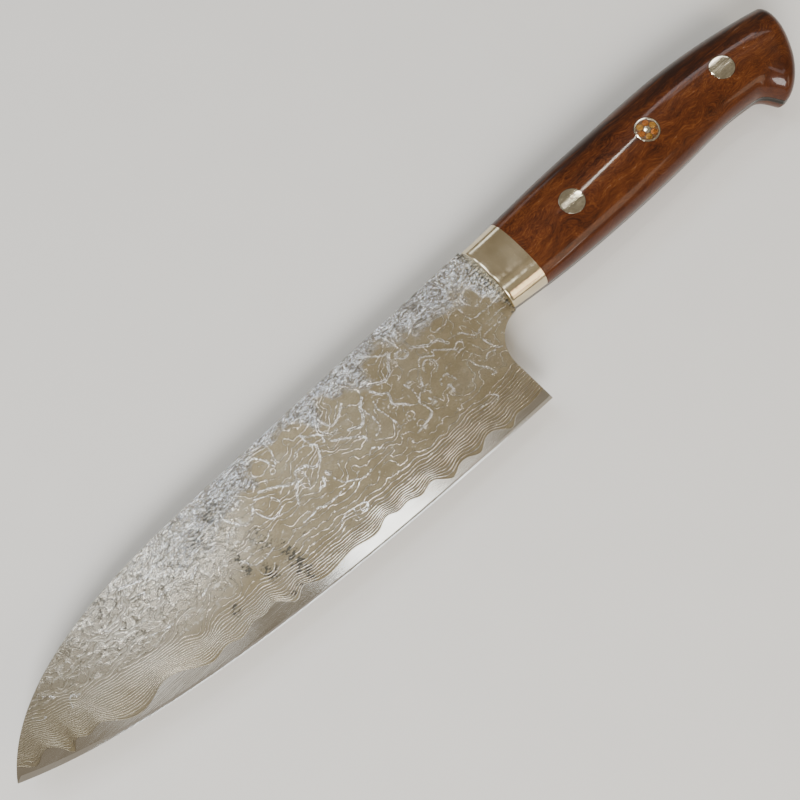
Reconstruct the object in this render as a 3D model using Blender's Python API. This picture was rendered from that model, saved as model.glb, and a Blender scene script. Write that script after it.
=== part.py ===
"""A santoku knife: a three-layer blade whose full tang runs between two contoured handle scales.

The knife lies on its right side: +X runs from the point to the butt, +Y towards the spine and +Z
out of the left side. Every shape is drawn from one datum, the middle of the bolster's front at the
middle of the blade's thickness, and the empty at the end moves the whole knife to its own origin,
the middle of the footprint at the height that it lies on. Sizes are in metres.
"""

import math

import bmesh
import bpy
import numpy as np

# Blade, seen from the side
EDGE_LENGTH = 0.1800  # straight from the heel to the point
HEEL_SETBACK = 0.0107  # heel ahead of the bolster
HEEL_DEPTH = 0.0384  # heel below the datum
POINT_DEPTH = 0.0169  # point below the datum
SPINE_RISE = 0.0125  # spine above the datum, at the bolster
SPINE_SLOPE = math.radians(1.5)  # the spine falls towards the point
SPINE_STRAIGHT = 0.1023  # bolster to where the spine starts to curve down
SPINE_SWEEP = (0.0277, 0.0289)  # reach of that curve's two handles
POINT_SPINE_ANGLE = math.radians(59)
EDGE_SWEEP = (0.0809, 0.0401)  # reach of the edge curve's two handles
HEEL_EDGE_ANGLE = math.radians(0.6)
POINT_EDGE_ANGLE = math.radians(22.3)
POINT_FLAT = 0.00012  # the very point is this blunt
HEEL_LEAN = math.radians(1.5)  # the heel's end leans forward as it rises
CHOIL_RADIUS = 0.0113
NECK_DEPTH = 0.0123  # underside of the neck below the datum

# Blade, through its thickness
TANG_THICKNESS = 0.0022
HEEL_EDGE_THICKNESS = 0.00038  # just behind the sharpened edge
POINT_THICKNESS = 0.00068
SHARPENED_ANGLE = math.radians(12)  # each side
SPINE_EASE = 0.0002  # the spine's corners are broken by this much
GRIND_START = 0.0020  # the flat grind starts this far ahead of the bolster
GRIND_RUN = 0.0095  # and takes this long to reach its full depth
CORE_SHARE = 0.4  # of the thickness, everywhere
WELD_LINE = 0.00001  # clearance between the layers

# The wavy line where the cladding ends: distance ahead of the heel, height above the edge
CLADDING_LINE = (
    (0.0000, 0.0036), (0.0080, 0.0030), (0.0120, 0.0027), (0.0143, 0.0012), (0.0178, 0.0033),
    (0.0228, 0.0038), (0.0261, 0.0019), (0.0298, 0.0032), (0.0333, 0.0031), (0.0373, 0.0017),
    (0.0413, 0.0046), (0.0473, 0.0037), (0.0503, 0.0048), (0.0553, 0.0046), (0.0578, 0.0055),
    (0.0618, 0.0040), (0.0703, 0.0044), (0.0778, 0.0034), (0.0853, 0.0039), (0.0883, 0.0050),
    (0.0925, 0.0029), (0.0961, 0.0058), (0.1013, 0.0052), (0.1043, 0.0055), (0.1098, 0.0036),
    (0.1133, 0.0044), (0.1198, 0.0028), (0.1243, 0.0042), (0.1293, 0.0060), (0.1333, 0.0060),
    (0.1385, 0.0034), (0.1483, 0.0032), (0.1528, 0.0053), (0.1573, 0.0039), (0.1605, 0.0040),
    (0.1623, 0.0015), (0.1640, 0.0034), (0.1698, 0.0043), (0.1718, 0.0026), (0.1753, 0.0039),
    (0.1800, 0.0045),
)  # fmt: skip

# Handle, seen from the side: ahead (-) or behind (+) the datum, above (+) or below (-) it
HANDLE_TOP = (
    (-0.0020, 0.0115), (0.0120, 0.0119), (0.0300, 0.0127), (0.0600, 0.0131), (0.0800, 0.0131),
    (0.1000, 0.0114), (0.1125, 0.0094), (0.1228, 0.0073),
)  # fmt: skip
HANDLE_BOTTOM = (
    (-0.0020, -0.0113), (0.0120, -0.0127), (0.0280, -0.0137), (0.0500, -0.0141),
    (0.0750, -0.0136), (0.0920, -0.0131), (0.1000, -0.0137), (0.1048, -0.0160), (0.1072, -0.0200),
)  # fmt: skip
# Full thickness of the handle at a distance behind the datum
HANDLE_THICKNESS = (
    (-0.0020, 0.0142), (0.0120, 0.0158), (0.0450, 0.0190), (0.0750, 0.0192), (0.0980, 0.0184),
    (0.1228, 0.0200),
)  # fmt: skip
BUTT_BULGE = 0.0059  # the rounded butt stands this far past the last full section
SECTION_FULLNESS = 2.6  # 2 is an oval, more is squarer
BUTT_FULLNESS = 0.55  # how slowly the butt thins as it rounds off
BOLSTER_LENGTH = 0.0125
BOLSTER_CHAMFER = 0.0005

# Pins
PIN_DIAMETER = 0.0079
PIN_CLEARANCE = 0.00005
FRONT_PIN = (0.0331, -0.0010)
MOSAIC_PIN = (0.0654, -0.0001)
REAR_PIN = (0.0970, -0.0009)
TUBE_WALL = 0.0005
RODS_ROUND = 6
ROD_DIAMETER = 0.0021
ROD_SPACING = 0.00224  # between the centres of neighbouring rods
ROD_CLEARANCE = 0.00002

# How finely the curves are divided
BLADE_STATIONS = 84
NECK_STATIONS = 9
HANDLE_STATIONS = 34
BUTT_STATIONS = 6
AROUND_HANDLE = 32
AROUND_PIN = 32
AROUND_ROD = 16
ARC_POINTS = 14

BEYOND = 0.01  # cutters reach this far past what they cut

HALF_TANG = TANG_THICKNESS / 2
HEEL_X = -HEEL_SETBACK
POINT_X = HEEL_X - math.sqrt(EDGE_LENGTH**2 - (HEEL_DEPTH - POINT_DEPTH) ** 2)


def clear_scene():
    for thing in list(bpy.data.objects):
        bpy.data.objects.remove(thing, do_unlink=True)


def new_collection(name):
    collection = bpy.data.collections.new(name)
    bpy.context.scene.collection.children.link(collection)
    return collection


clear_scene()
knife = new_collection("santoku_knife")
cutters = new_collection("cutters")
datum = bpy.data.objects.new("datum", None)
knife.objects.link(datum)


def add_object(name, mesh, collection):
    """A new object that hangs from the datum; in the cutters' collection it is a wire guide."""
    piece = bpy.data.objects.new(name, mesh)
    piece.parent = datum
    collection.objects.link(piece)
    if collection == cutters:
        piece.hide_render = True
        piece.display_type = "WIRE"
    return piece


def mesh_from(shape, name):
    """Turns a bmesh into a mesh with its faces pointing out."""
    bmesh.ops.recalc_face_normals(shape, faces=shape.faces)
    mesh = bpy.data.meshes.new(name)
    shape.to_mesh(mesh)
    shape.free()
    return mesh


def box_mesh(name, low, high):
    low = np.array(low)
    high = np.array(high)
    shape = bmesh.new()
    bmesh.ops.create_cube(shape, size=1)
    bmesh.ops.scale(shape, vec=high - low, verts=shape.verts)
    bmesh.ops.translate(shape, vec=(low + high) / 2, verts=shape.verts)
    return mesh_from(shape, name)


def cylinder_mesh(name, centre, diameter, sides, length):
    """A cylinder across the knife, centred on the blade's thickness."""
    shape = bmesh.new()
    bmesh.ops.create_cone(
        shape,
        cap_ends=True,
        segments=sides,
        radius1=diameter / 2,
        radius2=diameter / 2,
        depth=length,
    )
    bmesh.ops.translate(shape, vec=(centre[0], centre[1], 0), verts=shape.verts)
    return mesh_from(shape, name)


def prism_mesh(name, outline, half_height):
    """A flat outline in the plane of the blade, drawn out to both sides of it."""
    shape = bmesh.new()
    corners = [shape.verts.new((x, y, -half_height)) for x, y in outline]
    floor = shape.faces.new(corners)
    raised = bmesh.ops.extrude_face_region(shape, geom=[floor])["geom"]
    top = [item for item in raised if isinstance(item, bmesh.types.BMVert)]
    bmesh.ops.translate(shape, vec=(0, 0, 2 * half_height), verts=top)
    return mesh_from(shape, name)


def loft_mesh(name, rings):
    """A closed body through sections that all have the same number of points."""
    rings = np.array(rings)
    count, around = rings.shape[:2]
    near = np.arange(count * around).reshape(count, around)
    far = np.roll(near, -1, axis=1)
    lower = np.stack([near[:-1], far[:-1], far[1:]], axis=-1).reshape(-1, 3)
    upper = np.stack([near[:-1], far[1:], near[1:]], axis=-1).reshape(-1, 3)
    ends = [near[0][::-1].tolist(), near[-1].tolist()]
    shape = bpy.data.meshes.new(name)
    shape.from_pydata(rings.reshape(-1, 3), [], lower.tolist() + upper.tolist() + ends)
    solid = bmesh.new()
    solid.from_mesh(shape)
    bpy.data.meshes.remove(shape)
    return mesh_from(solid, name)


def boolean(piece, operation, tool):
    modifier = piece.modifiers.new(f"{operation.lower()}_{tool.name}", "BOOLEAN")
    modifier.operation = operation
    modifier.object = tool
    modifier.solver = "EXACT"


def material(name, colour, metallic, roughness):
    finish = bpy.data.materials.new(name)
    finish.use_nodes = True
    finish.diffuse_color = (*colour, 1)
    shader = finish.node_tree.nodes["Principled BSDF"]
    shader.inputs["Base Color"].default_value = (*colour, 1)
    shader.inputs["Metallic"].default_value = metallic
    shader.inputs["Roughness"].default_value = roughness
    return finish


def bezier(start, first, second, end, count):
    """Points along a cubic curve from its two ends and its two handles."""
    t = np.linspace(0, 1, count)[:, None]
    start, first, second, end = (np.array(p) for p in (start, first, second, end))
    inner = 3 * (1 - t) ** 2 * t * first + 3 * (1 - t) * t**2 * second
    return (1 - t) ** 3 * start + inner + t**3 * end


def smooth_heights(points, at):
    """Heights at the given places on the natural cubic spline through the points."""
    x, y = np.array(points).T
    steps = np.diff(x)
    slopes = np.diff(y) / steps
    inner = len(x) - 2
    system = np.diag(2 * (steps[:-1] + steps[1:]))
    system += np.diag(steps[1:-1], 1) + np.diag(steps[1:-1], -1)
    bend = np.zeros(inner + 2)
    bend[1:-1] = np.linalg.solve(system, 6 * np.diff(slopes))
    at = np.clip(at, x[0], x[-1])
    k = np.clip(np.searchsorted(x, at) - 1, 0, inner)
    past = at - x[k]
    slope = slopes[k] - steps[k] * (2 * bend[k] + bend[k + 1]) / 6
    return y[k] + past * (slope + past * (bend[k] / 2 + past * (bend[k + 1] - bend[k]) / (6 * steps[k])))


# Blade outline
# The spine is straight, then a curve drops to the point. The edge is one long curve.
heel = np.array([HEEL_X, -HEEL_DEPTH])
point = np.array([POINT_X, -POINT_DEPTH])
spine_turn = np.array([-SPINE_STRAIGHT, SPINE_RISE - SPINE_STRAIGHT * math.tan(SPINE_SLOPE)])
spine_curve = bezier(
    spine_turn,
    spine_turn - SPINE_SWEEP[0] * np.array([math.cos(SPINE_SLOPE), math.sin(SPINE_SLOPE)]),
    point + SPINE_SWEEP[1] * np.array([math.cos(POINT_SPINE_ANGLE), math.sin(POINT_SPINE_ANGLE)]),
    point,
    300,
)
edge_curve = bezier(
    heel,
    heel + EDGE_SWEEP[0] * np.array([-math.cos(HEEL_EDGE_ANGLE), math.sin(HEEL_EDGE_ANGLE)]),
    point + EDGE_SWEEP[1] * np.array([math.cos(POINT_EDGE_ANGLE), -math.sin(POINT_EDGE_ANGLE)]),
    point,
    300,
)


def spine_height(x):
    straight = SPINE_RISE + x * math.tan(SPINE_SLOPE)
    swept = np.interp(x, spine_curve[::-1, 0], spine_curve[::-1, 1])
    return np.where(x > spine_turn[0], straight, swept)


def edge_height(x):
    return np.interp(x, edge_curve[::-1, 0], edge_curve[::-1, 1])


# Blade thickness
# Each side is one flat plane that thins towards the edge and the point, until the neck.
THIN_DOWN = (HALF_TANG - HEEL_EDGE_THICKNESS / 2) / float(spine_height(HEEL_X) + HEEL_DEPTH)
THIN_ALONG = (
    (POINT_THICKNESS - HEEL_EDGE_THICKNESS) / 2 - THIN_DOWN * (HEEL_DEPTH - POINT_DEPTH)
) / (POINT_X - HEEL_X)


def half_thickness(x, y):
    """Half the blade's thickness: the ground plane, easing into the flat neck at the bolster."""
    ground = HEEL_EDGE_THICKNESS / 2 + THIN_DOWN * (y + HEEL_DEPTH) + THIN_ALONG * (x - HEEL_X)
    share = np.clip((x + GRIND_START + GRIND_RUN) / GRIND_RUN, 0, 1)
    share = share * share * (3 - 2 * share)
    return ground + (HALF_TANG - ground) * share


neck_x = np.linspace(0, HEEL_X, NECK_STATIONS)
closing = np.sin(np.linspace(0, math.pi / 2, BLADE_STATIONS)[1:])
stations = np.concatenate([neck_x, HEEL_X + (POINT_X + POINT_FLAT - HEEL_X) * closing])


def blade_rings():
    """Seven-sided sections: the edge, the top of each sharpened face and the eased spine."""
    low = edge_height(stations)
    high = spine_height(stations)
    face = half_thickness(stations, low) / (math.tan(SHARPENED_ANGLE) - THIN_DOWN)
    ground = low + np.minimum(face, 0.45 * (high - low))
    ease = np.minimum(SPINE_EASE, 0.2 * (high - low))
    at_ground = half_thickness(stations, ground)
    at_ease = half_thickness(stations, high - ease)
    rows = [(low, 0 * low), (ground, at_ground), (high - ease, at_ease), (high, at_ease - ease)]
    rows += [(y, -z) for y, z in rows[:0:-1]]
    return np.stack([np.stack([stations, y, z], axis=-1) for y, z in rows], axis=1)


def cladding_region(name, side, clearance):
    """All that lies above the wavy line on one side, outside the core's share of the thickness."""
    line = np.array(CLADDING_LINE)
    if side < 0:
        line[:, 1] = line[::-1, 1]
    ends = ([HANDLE_TOP[-1][0] + BEYOND], [POINT_X - BEYOND])
    x = np.concatenate([ends[0], stations, ends[1]])
    low = edge_height(x) + smooth_heights(line, HEEL_X - x) + clearance
    high = np.full_like(x, SPINE_RISE + BEYOND)
    rows = [
        (low, CORE_SHARE * half_thickness(x, low) + clearance),
        (high, CORE_SHARE * half_thickness(x, high) + clearance),
        (high, 0 * x + BEYOND),
        (low, 0 * x + BEYOND),
    ]
    rings = np.stack([np.stack([x, y, side * z], axis=-1) for y, z in rows], axis=1)
    return add_object(name, loft_mesh(name, rings), cutters)


def choil_outline():
    """What is cut away behind the heel: up the heel's end, round the choil and under the neck."""
    lean = np.array([math.cos(HEEL_LEAN), math.sin(HEEL_LEAN)])
    up = np.array([-lean[1], lean[0]])
    climb = (HEEL_DEPTH - NECK_DEPTH - CHOIL_RADIUS * (1 + lean[1])) / lean[0]
    centre = heel + climb * up + CHOIL_RADIUS * lean
    turn = np.linspace(math.pi + HEEL_LEAN, math.pi / 2, ARC_POINTS)
    arc = centre + CHOIL_RADIUS * np.stack([np.cos(turn), np.sin(turn)], axis=-1)
    below = heel - BEYOND * up
    return [below, *arc, (BEYOND, -NECK_DEPTH), (BEYOND, below[1])]


# Handle form
# One contoured body, from a little ahead of the bolster to the butt. Each section is a rounded
# oblong that spans from the bottom line to the top line, so the sections lean as the lines do.
def line_points(points, share):
    x = points[0][0] + (points[-1][0] - points[0][0]) * share
    return np.stack([x, smooth_heights(points, x)], axis=-1)


def section(bottom, top, half_width, scale_up=1.0):
    """A ring of points on |u|^n + |v|^n = 1 between two points of the handle's outline."""
    turn = np.linspace(0, 2 * math.pi, AROUND_HANDLE, endpoint=False)
    power = 2 / SECTION_FULLNESS
    across = np.sign(np.cos(turn)) * np.abs(np.cos(turn)) ** power
    upward = np.sign(np.sin(turn)) * np.abs(np.sin(turn)) ** power
    middle = (bottom + top) / 2
    plane = middle + scale_up * upward[:, None] * (top - bottom) / 2
    return np.column_stack([plane, half_width * across])


def handle_rings(start=0.0):
    """Full sections from a share of the length to the last one, then the rounded butt."""
    share = np.linspace(start, 1, HANDLE_STATIONS)
    tops = line_points(HANDLE_TOP, share)
    bottoms = line_points(HANDLE_BOTTOM, share)
    widths = smooth_heights(HANDLE_THICKNESS, tops[:, 0]) / 2
    rings = [section(b, t, w) for b, t, w in zip(bottoms, tops, widths)]
    chord = tops[-1] - bottoms[-1]
    outward = np.array([chord[1], -chord[0]]) / np.hypot(*chord)
    for angle in np.linspace(0, math.radians(84), BUTT_STATIONS + 1)[1:]:
        shift = outward * BUTT_BULGE * math.sin(angle)
        width = widths[-1] * math.cos(angle) ** BUTT_FULLNESS
        rings.append(section(bottoms[-1] + shift, tops[-1] + shift, width, math.cos(angle)))
    return np.array(rings)


handle_form = handle_rings()


def handle_mesh(name):
    return loft_mesh(name, handle_form)


def bolster_mesh(name):
    """The handle form from the bolster's front on, with the rim of that front chamfered."""
    length = HANDLE_TOP[-1][0] - HANDLE_TOP[0][0]
    rings = handle_rings(-HANDLE_TOP[0][0] / length)
    front = rings[0].copy()
    rings[0, :, 0] = 0
    chamfered = rings[0].copy()
    rings[0, :, 0] += BOLSTER_CHAMFER
    middle = front.mean(axis=0)
    size = (np.ptp(front[:, 1]) / 2, np.ptp(front[:, 2]) / 2)
    for axis, half in zip((1, 2), size):
        chamfered[:, axis] = middle[axis] + (front[:, axis] - middle[axis]) * (1 - BOLSTER_CHAMFER / half)
    return loft_mesh(name, np.concatenate([[chamfered], rings]))


widest = float(np.abs(handle_form[:, :, 2]).max())
butt_end = float(handle_form[:, :, 0].max())
handle_low = float(handle_form[:, :, 1].min())
handle_high = float(handle_form[:, :, 1].max())


def side_box(name, side, front, back):
    """Everything on one side of the tang between two stations of the handle."""
    inner = side * HALF_TANG
    outer = side * (widest + BEYOND)
    low = (front, handle_low - BEYOND, min(inner, outer))
    high = (back, handle_high + BEYOND, max(inner, outer))
    return add_object(name, box_mesh(name, low, high), cutters)


# Cutters and guides
choil = add_object("choil_cutter", prism_mesh("choil_cutter", choil_outline(), BEYOND), cutters)
whole_handle = add_object("handle_form", handle_mesh("handle_form"), cutters)
tang_slab = add_object(
    "tang_slab",
    box_mesh(
        "tang_slab",
        (-GRIND_START / 2, handle_low - BEYOND, -HALF_TANG),
        (butt_end + BEYOND, handle_high + BEYOND, HALF_TANG),
    ),
    cutters,
)
tang_form = add_object("tang_form", handle_mesh("tang_form"), cutters)
boolean(tang_form, "INTERSECT", tang_slab)

pin_length = 2 * (widest + BEYOND)
pin_bores = []
for pin_name, centre in (("front", FRONT_PIN), ("mosaic", MOSAIC_PIN), ("rear", REAR_PIN)):
    bore_mesh = cylinder_mesh(
        f"{pin_name}_bore", centre, PIN_DIAMETER + 2 * PIN_CLEARANCE, AROUND_PIN, pin_length
    )
    pin_bores.append(add_object(f"{pin_name}_bore", bore_mesh, cutters))


def finish_piece(piece, finish, smooth_angle):
    piece.data.materials.append(finish)
    piece.data.shade_smooth()
    piece.data.set_sharp_from_angle(angle=math.radians(smooth_angle))


# Blade: a hard core between two softer patterned claddings, all three running on as the tang
core_steel = material("core_steel", (0.66, 0.65, 0.61), 1.0, 0.32)
patterned_steel = material("patterned_steel", (0.50, 0.48, 0.42), 1.0, 0.42)


def blade_layer(name, finish):
    """A blank for one layer: the whole blade and tang, with the choil cut and the pins' holes."""
    layer = add_object(name, loft_mesh(name, blade_rings()), knife)
    finish_piece(layer, finish, 30)
    boolean(layer, "DIFFERENCE", choil)
    boolean(layer, "UNION", tang_form)
    return layer


blade_core = blade_layer("blade_core", core_steel)
boolean(blade_core, "DIFFERENCE", cladding_region("left_recess", 1, 0))
boolean(blade_core, "DIFFERENCE", cladding_region("right_recess", -1, 0))
left_cladding = blade_layer("left_cladding", patterned_steel)
boolean(left_cladding, "INTERSECT", cladding_region("left_region", 1, WELD_LINE))
right_cladding = blade_layer("right_cladding", patterned_steel)
boolean(right_cladding, "INTERSECT", cladding_region("right_region", -1, WELD_LINE))
for layer in (blade_core, left_cladding, right_cladding):
    for bore in pin_bores:
        boolean(layer, "DIFFERENCE", bore)

# Bolsters: two nickel silver halves soldered to the tang
nickel_silver = material("nickel_silver", (0.78, 0.74, 0.66), 1.0, 0.12)
for name, side in (("left_bolster", 1), ("right_bolster", -1)):
    bolster = add_object(name, bolster_mesh(name), knife)
    finish_piece(bolster, nickel_silver, 35)
    boolean(bolster, "INTERSECT", side_box(f"{name}_box", side, -BEYOND, BOLSTER_LENGTH))

# Scales: ironwood, glued to the tang and pinned through it
ironwood = material("ironwood", (0.20, 0.065, 0.022), 0.0, 0.18)
for name, side in (("left_scale", 1), ("right_scale", -1)):
    scale = add_object(name, handle_mesh(name), knife)
    finish_piece(scale, ironwood, 35)
    boolean(scale, "INTERSECT", side_box(f"{name}_box", side, BOLSTER_LENGTH, butt_end + BEYOND))
    for bore in pin_bores:
        boolean(scale, "DIFFERENCE", bore)


# Pins: ground flush with the scales on both sides, so each is cut by the handle form
def pin(name, centre, diameter, sides, finish):
    mesh = cylinder_mesh(name, centre, diameter, sides, pin_length)
    piece = add_object(name, mesh, knife)
    finish_piece(piece, finish, 35)
    boolean(piece, "INTERSECT", whole_handle)
    return piece


for name, centre in (("front_pin", FRONT_PIN), ("rear_pin", REAR_PIN)):
    pin(name, centre, PIN_DIAMETER, AROUND_PIN, nickel_silver)

# Mosaic pin: a thin tube packed with rods and filled with dark resin
brass = material("brass", (0.72, 0.50, 0.20), 1.0, 0.25)
copper = material("copper", (0.72, 0.33, 0.16), 1.0, 0.25)
dark_resin = material("dark_resin", (0.025, 0.020, 0.018), 0.0, 0.30)

resin_diameter = PIN_DIAMETER - 2 * TUBE_WALL
tube = pin("mosaic_tube", MOSAIC_PIN, PIN_DIAMETER, AROUND_PIN, nickel_silver)
tube_bore_mesh = cylinder_mesh("tube_bore", MOSAIC_PIN, resin_diameter, AROUND_PIN, pin_length)
boolean(tube, "DIFFERENCE", add_object("tube_bore", tube_bore_mesh, cutters))
resin_across = resin_diameter - 2 * ROD_CLEARANCE
resin = pin("mosaic_resin", MOSAIC_PIN, resin_across, AROUND_PIN, dark_resin)

turns = 2 * math.pi * np.arange(RODS_ROUND) / RODS_ROUND
rods = [("mosaic_centre_rod", MOSAIC_PIN, nickel_silver)]
for number, turn in enumerate(turns):
    place = (
        MOSAIC_PIN[0] + ROD_SPACING * math.cos(turn),
        MOSAIC_PIN[1] + ROD_SPACING * math.sin(turn),
    )
    rods.append((f"mosaic_rod_{number + 1}", place, (brass, copper)[number % 2]))
for name, place, finish in rods:
    pin(name, place, ROD_DIAMETER, AROUND_ROD, finish)
    bore_name = f"{name}_bore"
    rod_bore = ROD_DIAMETER + 2 * ROD_CLEARANCE
    bore_mesh = cylinder_mesh(bore_name, place, rod_bore, AROUND_ROD, pin_length)
    boolean(resin, "DIFFERENCE", add_object(bore_name, bore_mesh, cutters))

# The knife's own origin: the middle of its length and height, level with the side it lies on
top = max(handle_high, SPINE_RISE)
datum.location = (-(POINT_X + POINT_FLAT + butt_end) / 2, (HEEL_DEPTH - top) / 2, widest)
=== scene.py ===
"""Looks for a santoku knife: layered blade, nickel silver bolsters and polished ironwood scales.

The knife lies on its right side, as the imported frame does: +X from the point to the butt, +Y
towards the spine and +Z out of the left side. Shapes are drawn in metres from the datum, the
middle of the bolster's front at the middle of the blade's thickness, and new_piece() puts them
at their place in the frame.
"""

import math

import bpy
import numpy as np
from mathutils import Matrix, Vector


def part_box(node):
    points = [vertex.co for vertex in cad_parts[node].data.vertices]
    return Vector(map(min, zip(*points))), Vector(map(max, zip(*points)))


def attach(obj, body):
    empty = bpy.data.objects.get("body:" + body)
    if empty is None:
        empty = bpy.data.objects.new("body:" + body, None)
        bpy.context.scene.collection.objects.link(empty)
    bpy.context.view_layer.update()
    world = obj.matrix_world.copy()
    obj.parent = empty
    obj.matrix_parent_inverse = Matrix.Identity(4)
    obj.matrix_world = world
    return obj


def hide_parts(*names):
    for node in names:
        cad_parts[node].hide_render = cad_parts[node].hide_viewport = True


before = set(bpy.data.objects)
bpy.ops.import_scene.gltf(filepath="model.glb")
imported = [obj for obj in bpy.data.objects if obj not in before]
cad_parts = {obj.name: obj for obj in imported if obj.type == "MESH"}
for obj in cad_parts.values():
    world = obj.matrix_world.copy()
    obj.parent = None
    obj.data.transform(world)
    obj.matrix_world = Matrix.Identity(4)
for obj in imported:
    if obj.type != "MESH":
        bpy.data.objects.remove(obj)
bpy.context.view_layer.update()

# Blade core
# The hard middle layer of the blade, a strip of tool steel forge-welded between two softer
# claddings. It is ground flat with them, so it shows as the pale strip under their wavy line, is
# sharpened at the edge, and runs on through the handle as the middle of the tang.
EDGE_LENGTH = 0.1800
HEEL_SETBACK = 0.0107
HEEL_DEPTH = 0.0384
POINT_DEPTH = 0.0169
SPINE_RISE = 0.0125
SPINE_SLOPE = math.radians(1.5)
SPINE_STRAIGHT = 0.1023
SPINE_SWEEP = (0.0277, 0.0289)
POINT_SPINE_ANGLE = math.radians(59)
EDGE_SWEEP = (0.0809, 0.0401)
HEEL_EDGE_ANGLE = math.radians(0.6)
POINT_EDGE_ANGLE = math.radians(22.3)
POINT_FLAT = 0.00012
HEEL_LEAN = math.radians(1.5)
CHOIL_RADIUS = 0.0113
NECK_DEPTH = 0.0123
HALF_TANG = 0.0011
HEEL_EDGE_THICKNESS = 0.00038
POINT_THICKNESS = 0.00068
SHARPENED_ANGLE = math.radians(12)
EDGE_WIDTH = 0.00001  # even a sharp edge has a width
SPINE_EASE = 0.0002
GRIND_START = 0.0020
GRIND_RUN = 0.0095
CORE_SHARE = 0.4
WELD_LINE = 0.00001
# The handle's outline: x and y along its top and along its bottom
HANDLE_TOP = (
    (-0.0020, 0.0115), (0.0120, 0.0119), (0.0300, 0.0127), (0.0600, 0.0131), (0.0800, 0.0131),
    (0.1000, 0.0114), (0.1125, 0.0094), (0.1228, 0.0073),
)  # fmt: skip
HANDLE_BOTTOM = (
    (-0.0020, -0.0113), (0.0120, -0.0127), (0.0280, -0.0137), (0.0500, -0.0141),
    (0.0750, -0.0136), (0.0920, -0.0131), (0.1000, -0.0137), (0.1048, -0.0160), (0.1072, -0.0200),
)  # fmt: skip
BUTT_BULGE = 0.0059
# The wavy line where the cladding ends: distance ahead of the heel, height above the edge
CLADDING_LINE = (
    (0.0000, 0.0036), (0.0080, 0.0030), (0.0120, 0.0027), (0.0143, 0.0012), (0.0178, 0.0033),
    (0.0228, 0.0038), (0.0261, 0.0019), (0.0298, 0.0032), (0.0333, 0.0031), (0.0373, 0.0017),
    (0.0413, 0.0046), (0.0473, 0.0037), (0.0503, 0.0048), (0.0553, 0.0046), (0.0578, 0.0055),
    (0.0618, 0.0040), (0.0703, 0.0044), (0.0778, 0.0034), (0.0853, 0.0039), (0.0883, 0.0050),
    (0.0925, 0.0029), (0.0961, 0.0058), (0.1013, 0.0052), (0.1043, 0.0055), (0.1098, 0.0036),
    (0.1133, 0.0044), (0.1198, 0.0028), (0.1243, 0.0042), (0.1293, 0.0060), (0.1333, 0.0060),
    (0.1385, 0.0034), (0.1483, 0.0032), (0.1528, 0.0053), (0.1573, 0.0039), (0.1605, 0.0040),
    (0.1623, 0.0015), (0.1640, 0.0034), (0.1698, 0.0043), (0.1718, 0.0026), (0.1753, 0.0039),
    (0.1800, 0.0045),
)  # fmt: skip
STATION_GAP = 0.0005  # between the lines that the blade's surface is drawn on
POINT_REACH = 0.003  # those lines crowd together over this last length to the point
FAN_START = -0.070  # from here to the bolster they lean
TANG_START = 0.0001  # behind the bolster's front, where the handle's own cross lines begin
TANG_FLUSH = 0.9986  # the handle's section has dropped by the rest where the tang meets the scales
TANG_TURN = 88.5  # degrees that the tang goes on over the butt
GROUND_PLACE = 0.003  # a height above the edge that lies on the ground face
HIGHEST_BEVEL = 0.45  # of the blade's height, for the sharpened face near the point
CREASE_GAP = 0.00004  # between the two rows that carry a crease
ROUNDS = 12  # enough for a place that depends on itself to settle

bolster_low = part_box("left_bolster")[0]
core_low, core_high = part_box("blade_core")
DATUM = np.array([bolster_low.x, core_low.y + HEEL_DEPTH, (core_low.z + core_high.z) / 2])
HEEL_X = -HEEL_SETBACK
POINT_X = HEEL_X - math.sqrt(EDGE_LENGTH**2 - (HEEL_DEPTH - POINT_DEPTH) ** 2)


def heading(angle):
    """A step of length 1 at an angle from +X: its cosine and its sine."""
    return np.array([math.cos(angle), math.sin(angle)])


def eased(share):
    """A share from 0 to 1 with a soft start and a soft end: 3s^2 - 2s^3."""
    return share * share * (3 - 2 * share)


def sweep(start, first, second, end, count=400):
    """A cubic curve: the two ends and two handles, weighed by the terms of (1-t + t) cubed."""
    t = np.linspace(0, 1, count)[:, None]
    start, first, second, end = (np.array(p) for p in (start, first, second, end))
    inner = 3 * (1 - t) ** 2 * t * first + 3 * (1 - t) * t**2 * second
    return (1 - t) ** 3 * start + inner + t**3 * end


def smooth_heights(points, at):
    """Heights on the natural cubic spline through points: slope and bend agree at every point."""
    x, y = np.array(points).T
    steps = np.diff(x)
    slopes = np.diff(y) / steps
    inner = len(x) - 2
    system = np.diag(2 * (steps[:-1] + steps[1:]))
    system += np.diag(steps[1:-1], 1) + np.diag(steps[1:-1], -1)
    bend = np.zeros(inner + 2)
    bend[1:-1] = np.linalg.solve(system, 6 * np.diff(slopes))
    at = np.clip(at, x[0], x[-1])
    k = np.clip(np.searchsorted(x, at) - 1, 0, inner)
    past = at - x[k]
    slope = slopes[k] - steps[k] * (2 * bend[k] + bend[k + 1]) / 6
    return y[k] + past * (slope + past * (bend[k] / 2 + past * (bend[k + 1] - bend[k]) / (6 * steps[k])))


heel = np.array([HEEL_X, -HEEL_DEPTH])
point = np.array([POINT_X, -POINT_DEPTH])
spine_turn = np.array([-SPINE_STRAIGHT, SPINE_RISE - SPINE_STRAIGHT * math.tan(SPINE_SLOPE)])
spine_curve = sweep(
    spine_turn,
    spine_turn - SPINE_SWEEP[0] * heading(SPINE_SLOPE),
    point + SPINE_SWEEP[1] * heading(POINT_SPINE_ANGLE),
    point,
)
edge_curve = sweep(
    heel,
    heel - EDGE_SWEEP[0] * heading(-HEEL_EDGE_ANGLE),
    point + EDGE_SWEEP[1] * heading(-POINT_EDGE_ANGLE),
    point,
)


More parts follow.
